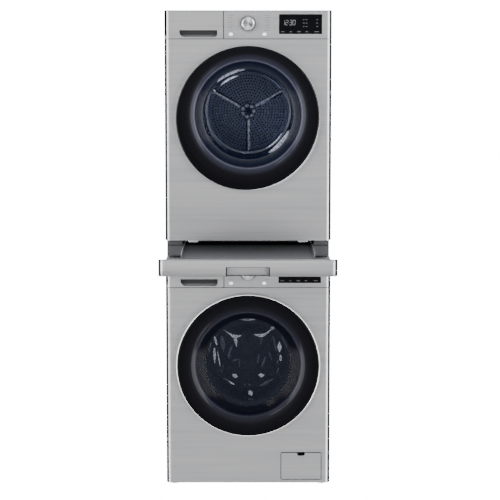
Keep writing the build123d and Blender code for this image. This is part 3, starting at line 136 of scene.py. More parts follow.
def brushed_stainless(name, crown=None, behind=None, lines=()):
    """Stainless steel brushed sideways under clear lacquer: long soft streaks and a satin sheen. Real grain is
    finer than shows, so it is drawn as streaks about 2 and 17 mm high. The wrapped side edges and the top edge are
    painted dark, with no gap behind them: painted shade where the rounded edges turn away from the light. The panel
    joints are painted over real gaps of 1 mm, wider than they are, and any lines given are painted too. A crown is a
    bar's middle height and half height, and gives its flat face a slightly rounded shine. Behind is the seam's height
    under a drawer front: what lies behind the steel there is black moulding, painted black at the top of its grip
    and greyer towards the bottom, as painted shade in the recess."""
    material, tree, shader = finish(name)
    place = add(tree, "ShaderNodeTexCoord").outputs["Object"]
    streaks = add(tree, "ShaderNodeMapping", {"Vector": place, "Scale": (3.0, 3.0, 420.0)})
    clouds = add(tree, "ShaderNodeMapping", {"Vector": place, "Scale": (1.6, 1.6, 60.0)})
    fine = add(tree, "ShaderNodeTexNoise", {"Vector": streaks.outputs[0], "Scale": 1.0, "Detail": 4.0})
    broad = add(tree, "ShaderNodeTexNoise", {"Vector": clouds.outputs[0], "Scale": 1.0, "Detail": 3.0})
    both = add(tree, "ShaderNodeMath", {0: fine.outputs[0], 1: broad.outputs[0]}, operation="ADD")
    level = add(tree, "ShaderNodeMapRange", {"Value": both.outputs[0], "From Min": 0.7, "From Max": 1.3})
    steel = blend_of(tree, level.outputs[0], colour("#A1A2A4"), colour("#B2B2B3"))
    parts = add(tree, "ShaderNodeSeparateXYZ", {0: place})
    out = add(tree, "ShaderNodeMath", {0: parts.outputs["X"]}, operation="ABSOLUTE")
    # Painted shade: the outermost millimetres of the rounded side edges and of the top edge are drawn dark.
    edge = add(tree, "ShaderNodeMapRange", {"Value": out.outputs[0], "From Min": 0.2900, "From Max": 0.2908})
    top = add(tree, "ShaderNodeMapRange", {"Value": parts.outputs["Z"], "From Min": 1.7314, "From Max": 1.7322})
    painted_shade_and_joints = add(tree, "ShaderNodeMath", {0: edge.outputs[0], 1: top.outputs[0]}, operation="MAXIMUM")
    seams = [(0.0, low + SEAM_RISE, 400.0, 1.3) for low in (WASHER_LOW, DRYER_LOW)]
    painted = inked(tree, parts, seams + list(lines))
    painted_shade_and_joints = add(tree, "ShaderNodeMath", {0: painted_shade_and_joints.outputs[0], 1: painted}, operation="MAXIMUM")
    tone = blend_of(tree, painted_shade_and_joints.outputs[0], steel, colour("#222326"))
    bare = add(tree, "ShaderNodeMath", {0: 1.0, 1: painted_shade_and_joints.outputs[0]}, operation="SUBTRACT").outputs[0]
    shine = add(tree, "ShaderNodeMath", {0: 0.5, 1: bare}, operation="MULTIPLY")
    tree.links.new(shine.outputs[0], shader.inputs["Specular IOR Level"])
    satin = add(tree, "ShaderNodeMapRange", {"Value": fine.outputs[0], "To Min": 0.38, "To Max": 0.46})
    if behind is not None:
        # Painted shade: the grip behind a drawer front is drawn black at its top and greyer towards its bottom.
        grip = add(tree, "ShaderNodeMapRange", {"Value": parts.outputs["Z"], "From Min": (behind + 6) * MM,
                                                "From Max": (behind + 16) * MM})
        moulding = blend_of(tree, grip.outputs[0], colour("#5C5D5F"), colour("#050506"))
        deep = add(tree, "ShaderNodeMapRange", {"Value": parts.outputs["Y"], "From Min": (FRONT + 1.6) * MM,
                                                "From Max": (FRONT + 2.4) * MM})
        tone = blend_of(tree, deep.outputs[0], tone, moulding)
        hollow = add(tree, "ShaderNodeMath", {0: 1.0, 1: deep.outputs[0]}, operation="SUBTRACT")
        bare = add(tree, "ShaderNodeMath", {0: bare, 1: hollow.outputs[0]}, operation="MULTIPLY").outputs[0]
    tree.links.new(bare, shader.inputs["Metallic"])
    tree.links.new(tone, shader.inputs["Base Color"])
    tree.links.new(satin.outputs[0], shader.inputs["Roughness"])
    grain = add(tree, "ShaderNodeBump", {"Height": fine.outputs[0], "Strength": 0.04, "Distance": 0.0004})
    if crown is not None:
        middle, half = crown
        rise = add(tree, "ShaderNodeMath", {0: parts.outputs["Z"], 1: middle * MM}, operation="SUBTRACT")
        square = add(tree, "ShaderNodeMath", {0: rise.outputs[0], 1: 2.0}, operation="POWER")
        dome = add(tree, "ShaderNodeMath", {0: square.outputs[0], 1: -0.17 / (half * MM)}, operation="MULTIPLY")
        round_face = add(tree, "ShaderNodeBump", {"Height": dome.outputs[0], "Strength": 1.0, "Distance": 1.0})
        tree.links.new(round_face.outputs[0], grain.inputs["Normal"])
    tree.links.new(grain.outputs[0], shader.inputs["Normal"])
    return material


def powder_coat(name, light, dark, rough=0.42):
    """Baked powder paint: an even satin with a slight orange peel. The real peel is about 1 mm, drawn at 3 mm."""
    material, tree, shader = finish(name, Roughness=rough)
    place = add(tree, "ShaderNodeTexCoord").outputs["Object"]
    peel = add(tree, "ShaderNodeTexNoise", {"Vector": place, "Scale": 330.0, "Detail": 2.0})
    drift = add(tree, "ShaderNodeTexNoise", {"Vector": place, "Scale": 4.0, "Detail": 2.0})
    tree.links.new(blend_of(tree, drift.outputs[0], colour(dark), colour(light)), shader.inputs["Base Color"])
    bump = add(tree, "ShaderNodeBump", {"Height": peel.outputs[0], "Strength": 0.12, "Distance": 0.0004})
    tree.links.new(bump.outputs[0], shader.inputs["Normal"])
    return material


def moulded(name, light, dark, rough=0.5, grit=1200.0, strength=0.1):
    """Injection-moulded plastic: matt with a spark-eroded grain of under a millimetre."""
    material, tree, shader = finish(name, Roughness=rough, IOR=1.5)
    place = add(tree, "ShaderNodeTexCoord").outputs["Object"]
    grain = add(tree, "ShaderNodeTexNoise", {"Vector": place, "Scale": grit, "Detail": 2.0})
    drift = add(tree, "ShaderNodeTexNoise", {"Vector": place, "Scale": 9.0, "Detail": 3.0})
    tree.links.new(blend_of(tree, drift.outputs[0], colour(dark), colour(light)), shader.inputs["Base Color"])
    bump = add(tree, "ShaderNodeBump", {"Height": grain.outputs[0], "Strength": strength, "Distance": 0.0003})
    tree.links.new(bump.outputs[0], shader.inputs["Normal"])
    uneven = add(tree, "ShaderNodeMapRange", {"Value": drift.outputs[0], "To Min": rough - 0.07,
                                              "To Max": rough + 0.07})
    tree.links.new(uneven.outputs[0], shader.inputs["Roughness"])
    return material


def stove_enamel_tray():
    """The shelf's tray: fine black enamel. It is drawn black at the back and grey at the front, which imitates the
    shade of the dryer above, so it stays so when the shelf slides or the light moves."""
    material, tree, shader = finish("stove_enamel_tray", Roughness=0.6)
    place = add(tree, "ShaderNodeTexCoord").outputs["Object"]
    along = add(tree, "ShaderNodeSeparateXYZ", {0: place})
    forward = add(tree, "ShaderNodeMapRange", {"Value": along.outputs["Y"], "From Min": -0.08, "From Max": -0.5})
    shade = ramp(tree, forward.outputs[0], 0.0, 1.0, [(0.0, colour("#0C0C0D")), (0.35, colour("#17181A")),
                                                      (0.7, colour("#38393C")), (1.0, colour("#56575A"))])
    tree.links.new(shade, shader.inputs["Base Color"])
    gloss = add(tree, "ShaderNodeMapRange", {"Value": forward.outputs[0], "To Min": 0.0, "To Max": 0.16})
    tree.links.new(gloss.outputs[0], shader.inputs["Specular IOR Level"])
    grain = add(tree, "ShaderNodeTexNoise", {"Vector": place, "Scale": 900.0})
    bump = add(tree, "ShaderNodeBump", {"Height": grain.outputs[0], "Strength": 0.15, "Distance": 0.0003})
    tree.links.new(bump.outputs[0], shader.inputs["Normal"])
    return material


def knob_collar(name, axis):
    """Satin ring round a knob: dark in the groove beside the knob, light on its face, with a dark outer line. The dark
    groove and the dark outer line are painted shade.
    """
    material, tree, shader = finish(name, Roughness=0.5, Specular_IOR_Level=0.3)
    reach = distance_from(tree, axis)
    # Painted shade at 25.5 mm, in the groove beside the knob, and at 33.4 mm, along the ring's outer edge.
    stops = [(25.5, colour("#28292B")), (27.5, colour("#5C5D60")), (31.0, colour("#747578"))]
    stops += [(32.6, colour("#6A6B6E")), (33.4, colour("#3A3B3D"))]
    tree.links.new(ramp(tree, reach, 20.0, 40.0, stops), shader.inputs["Base Color"])
    return material


def galvanised_sheet():
    """Zinc-coated steel: dull grey metal with a faint spangle of 10 to 20 mm flakes."""
    material, tree, shader = finish("galvanised_sheet", Metallic=1.0, Roughness=0.5)
    place = add(tree, "ShaderNodeTexCoord").outputs["Object"]
    flakes = add(tree, "ShaderNodeTexVoronoi", {"Vector": place, "Scale": 70.0})
    tone = add(tree, "ShaderNodeSeparateColor", {0: flakes.outputs["Color"]})
    tree.links.new(blend_of(tree, tone.outputs[0], colour("#8E9195"), colour("#A9ABAE")), shader.inputs["Base Color"])
    sheen = add(tree, "ShaderNodeMapRange", {"Value": tone.outputs[1], "To Min": 0.42, "To Max": 0.58})
    tree.links.new(sheen.outputs[0], shader.inputs["Roughness"])
    return material


def bright_plating():
    """Chromed plastic: near white and glossy, faintly hazed. Only a quarter metal, so lighter than a mirror."""
    material, tree, shader = finish("bright_plating", Metallic=0.25, Base_Color=colour("#FAFAFB"))
    place = add(tree, "ShaderNodeTexCoord").outputs["Object"]
    haze = add(tree, "ShaderNodeTexNoise", {"Vector": place, "Scale": 60.0})
    rough = add(tree, "ShaderNodeMapRange", {"Value": haze.outputs[0], "To Min": 0.1, "To Max": 0.2})
    tree.links.new(rough.outputs[0], shader.inputs["Roughness"])
    return material


def turned_aluminium():
    """Knob faced on a lathe and satin anodised, its turning marks drawn as fine rings with a shine along them. The fans
    of light round it are a painted highlight: its colour turns lighter and darker by angle round its middle.
    """
    material, tree, shader = finish("turned_aluminium", Metallic=1.0, Roughness=0.28, Anisotropic=0.85)
    place = add(tree, "ShaderNodeTexCoord").outputs["Generated"]
    middle = add(tree, "ShaderNodeVectorMath", {0: place, 1: (0.5, 0.5, 0.5)}, operation="SUBTRACT")
    flat = add(tree, "ShaderNodeVectorMath", {0: middle.outputs[0], 1: (1.0, 0.0, 1.0)}, operation="MULTIPLY")
    radius = add(tree, "ShaderNodeVectorMath", {0: flat.outputs[0]}, operation="LENGTH")
    marks = add(tree, "ShaderNodeTexNoise", {"W": radius.outputs["Value"], "Scale": 160.0}, noise_dimensions="1D")
    metal = blend_of(tree, marks.outputs[0], colour("#D4D5D7"), colour("#F4F4F5"))
    # Painted highlight: fans of light drawn into the colour by angle round the knob's middle.
    spread = add(tree, "ShaderNodeSeparateXYZ", {0: flat.outputs[0]})
    turn = add(tree, "ShaderNodeMath", {0: spread.outputs["Z"], 1: spread.outputs["X"]}, operation="ARCTAN2")
    fan_highlight_wave = add(tree, "ShaderNodeTexNoise", {"W": turn.outputs[0], "Scale": 1.1, "Detail": 1.5},
               noise_dimensions="1D")
    painted_fan_highlight = add(tree, "ShaderNodeMapRange", {"Value": fan_highlight_wave.outputs[0], "From Min": 0.4, "From Max": 0.58})
    tree.links.new(blend_of(tree, painted_fan_highlight.outputs[0], colour("#9C9DA0"), metal), shader.inputs["Base Color"])
    around = add(tree, "ShaderNodeTangent", direction_type="RADIAL", axis="Y")
    tree.links.new(around.outputs[0], shader.inputs["Tangent"])
    bump = add(tree, "ShaderNodeBump", {"Height": marks.outputs[0], "Strength": 0.15, "Distance": 0.0002})
    tree.links.new(bump.outputs[0], shader.inputs["Normal"])
    return material


def distance_from(tree, z):
    """Millimetres from an axis along y at height z, as a socket."""
    place = add(tree, "ShaderNodeTexCoord").outputs["Object"]
    offset = add(tree, "ShaderNodeVectorMath", {0: place, 1: (0.0, 0.0, z * MM)}, operation="SUBTRACT")
    flat = add(tree, "ShaderNodeVectorMath", {0: offset.outputs[0], 1: (1000.0, 0.0, 1000.0)},
               operation="MULTIPLY")
    length = add(tree, "ShaderNodeVectorMath", {0: flat.outputs[0]}, operation="LENGTH")
    return length.outputs["Value"]


def ramp(tree, value, low, high, stops):
    """A colour ramp over a value that runs from low to high. Stops are (value, colour)."""
    share = add(tree, "ShaderNodeMapRange", {"Value": value, "From Min": low, "From Max": high})
    node = add(tree, "ShaderNodeValToRGB", {0: share.outputs[0]})
    points = node.color_ramp.elements
    while len(points) < len(stops):
        points.new(0.5)
    for point, (at, shade) in zip(points, stops):
        point.position = (at - low) / (high - low)
        point.color = shade
    return node.outputs[0]


def smoked_acrylic_border(name, axis, tint, line):
    """The door cover's border, printed black from behind: deep gloss that fades to a smoky grey where the cover
    turns in to its dish, with a thin light line at the dish's edge. The smoky grey is painted reflection of the curved
    shoulder, and the light line is a painted highlight."""
    material, tree, shader = finish(name, Roughness=0.09, IOR=1.49, Specular_IOR_Level=0.08)
    reach = distance_from(tree, axis)
    # Painted reflection and painted highlight: grey on the shoulder near the dish, and a light line at its edge.
    stops = [(DISH_R - 6, colour("#0A0C16")), (DISH_R - 1, colour("#14161F")), (DISH_R + 3, colour(line))]
    stops += [(DISH_R + 8, colour(tint)), (DISH_R + 28, colour("#0B0B0E")), (DISH_R + 60, colour("#060608"))]
    tree.links.new(ramp(tree, reach, 180.0, 260.0, stops), shader.inputs["Base Color"])
    return material


def smoked_acrylic_dish(name, axis, clear, tint):
    """The clear middle of the door cover: dark blue-grey tint, glossy, dense at its edge."""
    material, tree, shader = finish(name, Roughness=0.04, IOR=1.49, Base_Color=colour(tint))
    shader.inputs["Specular IOR Level"].default_value = 0.03
    reach = distance_from(tree, axis)
    dense = [(0.0, (clear,) * 3 + (1.0,)), (150.0, (clear,) * 3 + (1.0,)), (166.0, (0.86,) * 3 + (1.0,))]
    dense += [(DISH_R, (0.97,) * 3 + (1.0,))]
    tree.links.new(ramp(tree, reach, 0.0, 200.0, dense), shader.inputs["Alpha"])
    return material


def black_glass():
    """Display window: polished acrylic over black print, a deep black with a crisp reflection."""
    material, tree, shader = finish("black_glass", Roughness=0.08, IOR=1.49, Specular_IOR_Level=0.06)
    place = add(tree, "ShaderNodeTexCoord").outputs["Object"]
    print_tone = add(tree, "ShaderNodeTexNoise", {"Vector": place, "Scale": 30.0})
    tone = blend_of(tree, print_tone.outputs[0], colour("#050506"), colour("#0A0A0C"))
    tree.links.new(tone, shader.inputs["Base Color"])
    return material


def moulded_bowl_glass():
    """The washer's pressed glass bowl: clear, slightly blue, soft ripples."""
    material, tree, shader = finish("moulded_bowl_glass", Roughness=0.03, IOR=1.5, Alpha=0.22)
    place = add(tree, "ShaderNodeTexCoord").outputs["Object"]
    ripple = add(tree, "ShaderNodeTexNoise", {"Vector": place, "Scale": 22.0})
    tree.links.new(blend_of(tree, ripple.outputs[0], colour("#8FA0B8"), colour("#B5C3D2")), shader.inputs["Base Color"])
    bump = add(tree, "ShaderNodeBump", {"Height": ripple.outputs[0], "Strength": 0.2, "Distance": 0.002})
    tree.links.new(bump.outputs[0], shader.inputs["Normal"])
    return material


def perforated_steel(name, axis, pitch, hole, light, dark):
    """Stainless steel with rings of round dark holes about the axis, pitch and hole in millimetres. The holes are
    drawn on, as the sheet itself is whole. It is drawn lighter from 152 to 177 mm, a painted highlight, and dark
    blue beyond 177 mm, painted shade towards the drum's wall."""
    material, tree, shader = finish(name, Metallic=1.0, Roughness=0.3)
    place = add(tree, "ShaderNodeTexCoord").outputs["Object"]
    offset = add(tree, "ShaderNodeVectorMath", {0: place, 1: (0.0, 0.0, axis * MM)}, operation="SUBTRACT")
    parts = add(tree, "ShaderNodeSeparateXYZ", {0: offset.outputs[0]})
    reach = distance_from(tree, axis)
    turn = add(tree, "ShaderNodeMath", {0: parts.outputs["Z"], 1: parts.outputs["X"]}, operation="ARCTAN2")
    ring = add(tree, "ShaderNodeMath", {0: reach, 1: pitch}, operation="DIVIDE")
    number = add(tree, "ShaderNodeMath", {0: ring.outputs[0]}, operation="FLOOR")
    middle = add(tree, "ShaderNodeMath", {0: number.outputs[0], 1: 0.5}, operation="ADD")
    count = add(tree, "ShaderNodeMath", {0: middle.outputs[0], 1: 2 * math.pi}, operation="MULTIPLY")
    whole = add(tree, "ShaderNodeMath", {0: count.outputs[0]}, operation="ROUND")
    share = add(tree, "ShaderNodeMath", {0: turn.outputs[0], 1: 2 * math.pi}, operation="DIVIDE")
    along = add(tree, "ShaderNodeMath", {0: share.outputs[0], 1: whole.outputs[0]}, operation="MULTIPLY")
    cell = add(tree, "ShaderNodeMath", {0: along.outputs[0]}, operation="FRACT")
    across = add(tree, "ShaderNodeMath", {0: ring.outputs[0]}, operation="FRACT")
    spot = add(tree, "ShaderNodeCombineXYZ", {0: cell.outputs[0], 1: across.outputs[0]})
    away = add(tree, "ShaderNodeVectorMath", {0: spot.outputs[0], 1: (0.5, 0.5, 0.0)}, operation="DISTANCE")
    r = hole / pitch / 2
    solid = add(tree, "ShaderNodeMapRange", {"Value": away.outputs["Value"], "From Min": r - 0.05,
                                             "From Max": r + 0.05})
    punched_zone = add(tree, "ShaderNodeMapRange", {"Value": reach, "From Min": 146.0, "From Max": 148.0})
    plain = add(tree, "ShaderNodeMath", {0: solid.outputs[0], 1: punched_zone.outputs[0]}, operation="MAXIMUM")
    # Painted highlight in a ring from 152 to 177 mm, and painted shade in dark blue beyond 177 mm.
    stops = [(0.0, colour(light)), (152.0, colour(light)), (158.0, colour("#B9C1CF")), (170.0, colour("#C6CCD7"))]
    stops += [(177.0, colour("#39415A")), (230.0, colour("#222A44"))]
    sheet = ramp(tree, reach, 0.0, 300.0, stops)
    tree.links.new(blend_of(tree, plain.outputs[0], colour(dark), sheet), shader.inputs["Base Color"])
    punched = add(tree, "ShaderNodeBump", {"Height": solid.outputs[0], "Strength": 0.5, "Distance": 0.001})
    tree.links.new(punched.outputs[0], shader.inputs["Normal"])
    return material


def rolled_stainless():
    """Drum wall: semi-bright stainless with small round dimples on a 14 mm pitch."""
    material, tree, shader = finish("rolled_stainless", Metallic=1.0, Roughness=0.22, Base_Color=colour("#A9AEBB"))
    place = add(tree, "ShaderNodeTexCoord").outputs["Object"]
    dimples = add(tree, "ShaderNodeTexVoronoi", {"Vector": place, "Scale": 70.0, "Randomness": 0.35})
    bump = add(tree, "ShaderNodeBump", {"Height": dimples.outputs["Distance"], "Strength": 0.25, "Distance": 0.003})
    tree.links.new(bump.outputs[0], shader.inputs["Normal"])
    return material


def cast_concrete():
    """Ballast ring: grey cement with 3 to 6 mm stones showing."""
    material, tree, shader = finish("cast_concrete", Roughness=0.9)
    place = add(tree, "ShaderNodeTexCoord").outputs["Object"]
    stones = add(tree, "ShaderNodeTexVoronoi", {"Vector": place, "Scale": 220.0})
    tone = blend_of(tree, stones.outputs["Distance"], colour("#7C7A75"), colour("#9C9A94"))
    tree.links.new(tone, shader.inputs["Base Color"])
    return material


def lit_digits():
    """Display segments: cool white light behind frosted print."""
    material, tree, shader = finish("lit_digits", Roughness=0.5, Base_Color=colour("#4A4D50"))
    place = add(tree, "ShaderNodeTexCoord").outputs["Object"]
    frost = add(tree, "ShaderNodeTexNoise", {"Vector": place, "Scale": 300.0})
    tone = blend_of(tree, frost.outputs[0], colour("#B9C0C6"), colour("#E6EAEC"))
    tree.links.new(tone, shader.inputs["Emission Color"])
    shader.inputs["Emission Strength"].default_value = 0.16
    return material


FINISHES = {
    "brushed_steel": brushed_stainless("brushed_stainless"),
    "cabinet_paint": powder_coat("cabinet_powder_coat", "#8E9093", "#888A8D"),
    "zinc_sheet": galvanised_sheet(),
    "tinted_cover": black_glass(),
    "door_moulding": moulded("black_door_moulding", "#15151A", "#0F0F13", 0.3),
    "silver_moulding": moulded("silver_lacquered_moulding", "#B9BBBE", "#AFB1B4", 0.32),
    "bright_trim": bright_plating(),
    "bowl_glass": moulded_bowl_glass(),
    "display_black": black_glass(),
    "knob_metal": turned_aluminium(),
    "button_silver": moulded("silver_button_lacquer", "#F6F6F7", "#EDEDEE", 0.25),
    "stainless_drum": rolled_stainless(),
    "lifter_plastic": moulded("blue_grey_lifter", "#343B4C", "#2A3040", 0.4),
    "dark_moulding": moulded("black_moulding", "#2F3033", "#242527", 0.5),
    "grey_moulding": moulded("grey_moulding", "#8B8C8E", "#7D7E80", 0.5),
    "gasket_rubber": moulded("grey_gasket_rubber", "#3A3C40", "#2E3034", 0.65),
    "foot_rubber": moulded("black_foot_rubber", "#303133", "#252627", 0.75),
    "screw_steel": galvanised_sheet(),
    "works_metal": galvanised_sheet(),
    "works_iron": powder_coat("black_stove_enamel", "#2C2D2F", "#232426", 0.5),
    "concrete_grey": cast_concrete(),
}
SLOT_OF = {entry["node"]: entry["material_slot"] for entry in frame["record"]["subparts"]}


def give(piece, material):
    """Puts one finish on the whole piece."""
    piece.data.materials.clear()
    piece.data.materials.append(material)


for node_name, piece in cad.items():
    give(piece, FINISHES[SLOT_OF[node_name]])
# The shelf grip's outline is paint alone: painted shade along the walls and lip of its recess. The flap's outline lies
# over the real gap round it.
GRIP_SHADE_LINES = [(-71.5, 861.0, 2.2, 17.5), (71.5, 861.0, 2.2, 17.5), (0.0, 878.6, 72.0, 0.8),
              (0.0, 848.0, 71.0, 1.6)]
FLAP_LINES = [(120.4, 73.0, 1.4, 52.0), (268.1, 73.0, 1.4, 52.0), (194.2, 123.2, 75.0, 1.4),
              (194.2, 22.6, 75.0, 1.2)]
give(cad["shelf_front"], brushed_stainless("brushed_stainless_bar", crown=(874.0, 27.0), lines=GRIP_SHADE_LINES))
give(cad["washer_filter_flap"], brushed_stainless("brushed_stainless_flap", lines=FLAP_LINES))
for machine, low, drawer in (("washer", WASHER_LOW, "washer_detergent_drawer"),
                             ("dryer", DRYER_LOW, "dryer_water_tank")):
    joint = [(-87.5, low + SEAM_RISE + 51.0, 1.5, 52.0)]
    give(cad[drawer], brushed_stainless(f"steel_faced_drawer_{machine}", behind=low + SEAM_RISE, lines=joint))
    give(cad[f"{machine}_control_panel"], brushed_stainless(f"brushed_stainless_panel_{machine}", lines=joint))
give(cad["shelf_tray"], stove_enamel_tray())
give(cad["kit_frame"], moulded("grey_housing_moulding", "#2F3033", "#252628", 0.5))
give(cad["kit_brackets"], moulded("pale_rubber_pads", "#E6E6E8", "#DADADC", 0.6))


# ---------------------------------------------------------------- mesh makers
def new_piece(name, vertices, faces, material, body, smooth=True):
    """A mesh in the stack's own frame, given in millimetres, that rides on a body."""
    mesh = bpy.data.meshes.new(name)
    mesh.from_pydata([tuple(c * MM for c in v) for v in vertices], [], faces)
    mesh.update()
    if smooth:
        mesh.shade_smooth()
    piece = bpy.data.objects.new(name, mesh)
    bpy.context.scene.collection.objects.link(piece)
    mesh.materials.append(material)
    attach(piece, body)
    return piece


def rounded_profile(points, steps=5):
    """A smooth run through profile points, by Catmull-Rom between each two."""
    run = []
    ends = [points[0]] + list(points) + [points[-1]]
    for n in range(1, len(ends) - 2):
        before, a, b, after = ends[n - 1:n + 3]
        for k in range(steps):
            t = k / steps
            run.append(tuple(
                0.5 * (2 * q + (r - p) * t + (2 * p - 5 * q + 4 * r - s) * t * t + (3 * q - p - 3 * r + s) * t ** 3)
                for p, q, r, s in zip(before, a, b, after)))
    return run + [points[-1]]


def door_border(name, door, dish, body, material, bare_rim):
    """The cover's printed border, from its rounded outer edge over the flat ring and down to the dish's edge.
    Profile points are (radius, y, how far the centre has moved from the door's to the dish's)."""
    face = DOOR_FACE
    profile = [(DOOR_R - 0.6, face + 4.0, 0.0), (DOOR_R - 0.4, face + 3.0, 0.0), (DOOR_R - 1.2, face + 1.2, 0.0)]
    profile += [(DOOR_R - 3.5, face + 0.3, 0.0), (DOOR_R - 8.0, face, 0.0), (232.0, face, 0.6)]
    profile += [(218.0, face + 0.2, 1.0), (210.0, face + 1.2, 1.0), (203.0, face + 3.6, 1.0)]
    profile += [(197.0, face + 7.4, 1.0), (192.6, face + 11.8, 1.0), (190.0, face + 15.2, 1.0)]
    profile += [(188.8, face + 17.0, 1.0)]
    rows = rounded_profile(profile)
    vertices, faces = [], []
    for radius, y, moved in rows:
        for n in range(ROUND_STEPS):
            a = 2 * math.pi * n / ROUND_STEPS
            cut = bare_rim * max(0.0, math.cos(a + 0.75)) ** 2 * max(0.0, 1 - (DOOR_R - radius) / 20)
            centre = door + moved * (dish - door)
            vertices.append(((radius - cut) * math.cos(a), y, centre + (radius - cut) * math.sin(a)))
    for row in range(len(rows) - 1):
        for n in range(ROUND_STEPS):
            m = (n + 1) % ROUND_STEPS
            a, b = row * ROUND_STEPS, (row + 1) * ROUND_STEPS
            faces.append((a + n, b + n, b + m, a + m))
    piece = new_piece(name, vertices, faces, material, body)
    wall = piece.modifiers.new("wall", "SOLIDIFY")
    wall.thickness = 2.5 * MM
    wall.offset = -1.0
    return piece


def round_skin(name, profile, axis, body, material, steps=5):
    """A skin turned about an axis along y from (radius, y) points that run in to the middle."""
    rows = rounded_profile(profile, steps)
    vertices, faces = [], []
    for radius, y in rows[:-1]:
        for n in range(ROUND_STEPS):
            a = 2 * math.pi * n / ROUND_STEPS
            vertices.append((radius * math.cos(a), y, axis + radius * math.sin(a)))
    for row in range(len(rows) - 2):
        for n in range(ROUND_STEPS):
            m = (n + 1) % ROUND_STEPS
            a, b = row * ROUND_STEPS, (row + 1) * ROUND_STEPS
            faces.append((a + n, b + n, b + m, a + m))
    last = (len(rows) - 2) * ROUND_STEPS
    vertices.append((0.0, rows[-1][1], axis))
    for n in range(ROUND_STEPS):
        faces.append((last + n, len(vertices) - 1, last + (n + 1) % ROUND_STEPS))
    return new_piece(name, vertices, faces, material, body)


def door_dish(name, dish, body, material):
    """The cover's clear middle, a shallow dish that starts where the border ends."""
    face = DOOR_FACE
    profile = [(188.8, face + 17.0), (180.0, face + 23.5), (170.0, face + 29.5), (160.0, face + 34.5)]
    profile += [(150.0, face + 38.6), (120.0, face + 42.5), (60.0, face + 45.5), (0.0, face + 46.5)]
    return round_skin(name, profile, dish, body, material)


# ---------------------------------------------------------------- doors
washer_border = door_border("washer_door_border", WASHER_DOOR, WASHER_DISH, "washer_door",
                            smoked_acrylic_border("smoked_acrylic_border_washer", WASHER_DISH, "#17171D",
                                                  "#22232A"), 0.0)
washer_dish = door_dish("washer_door_dish", WASHER_DISH, "washer_door",
                        smoked_acrylic_dish("smoked_acrylic_dish_washer", WASHER_DISH, 0.8, "#07080F"))
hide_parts("washer_door_cover")
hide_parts("washer_door_cover")
dryer_border = door_border("dryer_door_border", DRYER_DOOR, DRYER_DISH, "dryer_door",
                           smoked_acrylic_border("smoked_acrylic_border_dryer", DRYER_DISH, "#20212A",
                                                 "#3C3D48"), 7.0)
dryer_dish = door_dish("dryer_door_dish", DRYER_DISH, "dryer_door",
                       smoked_acrylic_dish("smoked_acrylic_dish_dryer", DRYER_DISH, 0.53, "#060A18"))
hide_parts("dryer_door_cover")
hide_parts("dryer_door_cover")

give(cad["dryer_drum_back"], perforated_steel("punched_drum_back", DRYER_DRUM, 11.0, 6.0, "#A3ACC2", "#0C0F18"))


def hub_cap():
    """Lobed cap over the dryer drum's rear bearing: seven lobes round a sunk middle. The lobes' shine is self-lit, a
    painted highlight.
    """
    rows = [(31.0, 474.5, 1.0), (31.5, 471.0, 1.0), (29.0, 468.5, 0.9), (23.0, 467.0, 0.7), (17.0, 467.6, 0.35)]
    rows += [(12.5, 470.2, 0.1), (8.0, 471.6, 0.0), (3.0, 471.8, 0.0)]
    steps = HUB_STEPS
    vertices, faces = [], []
    for radius, y, lobed in rows:
        for n in range(steps):
            a = 2 * math.pi * n / steps
            r = radius + lobed * 3.0 * math.cos(HUB_LOBES * a + 0.6)
            vertices.append((r * math.cos(a), FRONT + y, DRYER_DRUM + r * math.sin(a)))
    for row in range(len(rows) - 1):
        for n in range(steps):
            m = (n + 1) % steps
            a, b = row * steps, (row + 1) * steps
            faces.append((a + n, b + n, b + m, a + m))
    faces.append(tuple((len(rows) - 1) * steps + n for n in range(steps)))
    cap = moulded("blue_grey_hub_cap", "#7E8698", "#666E80", 0.35)
    lobes = [arc(22.0, 51.4 * n - 20, 51.4 * n + 20, 12.5) for n in range(HUB_LOBES)]
    caught_light("dryer_hub_lobes", lobes, DRYER_DRUM, FRONT + 465.6, glow("glowing_hub_lobe_highlight", "#A4ABBC", 0.8),
                 "dryer_drum_body")
    corners = [(11.0 * math.cos(a), FRONT + 466.4, DRYER_DRUM + 11.0 * math.sin(a)) for a in
               (math.radians(d) for d in (-30, 90, 210))]
    new_piece("dryer_hub_socket", corners, [(0, 1, 2)], RIB_GLOW_AND_FOLD_SHADE["fold"], "dryer_drum_body", smooth=False)
    return new_piece("dryer_hub_cap", vertices, faces, cap, "dryer_drum_body")


def drum_ribs():
    """Smooth pressed ribs on the dryer drum's back, each with a fold along one side. The ribs are self-lit, a painted
    highlight, and the folds are drawn dark, a painted shade.
    """
    for number, angle in enumerate((30, 150, 270)):
        ux, uz = math.cos(math.radians(angle)), math.sin(math.radians(angle))
        nx, nz = -uz, ux
        for part, offset, half, y, first, last in (("rib", 2.0, 4.5, 488.2, 34.0, 151.0),
                                                   ("fold", -5.5, 3.0, 488.6, 36.0, 150.0)):
            profile = [(-half, y), (-half * 0.6, y - 1.6), (half * 0.6, y - 1.6), (half, y)]
            vertices = []
            for k in range(9):
                r = first + (last - first) * k / 8
                taper = 1.0 - 0.35 * k / 8 if part == "rib" else 0.6 + 0.4 * k / 8
                for across, depth in profile:
                    w = offset + across * taper
                    vertices.append((r * ux + w * nx, FRONT + depth, DRYER_DRUM + r * uz + w * nz))
            faces = [(4 * k + j, 4 * k + j + 1, 4 * k + j + 5, 4 * k + j + 4) for k in range(8) for j in range(3)]
            new_piece(f"dryer_back_{part}_{number + 1}", vertices, faces, RIB_GLOW_AND_FOLD_SHADE[part],
                      "dryer_drum_body")


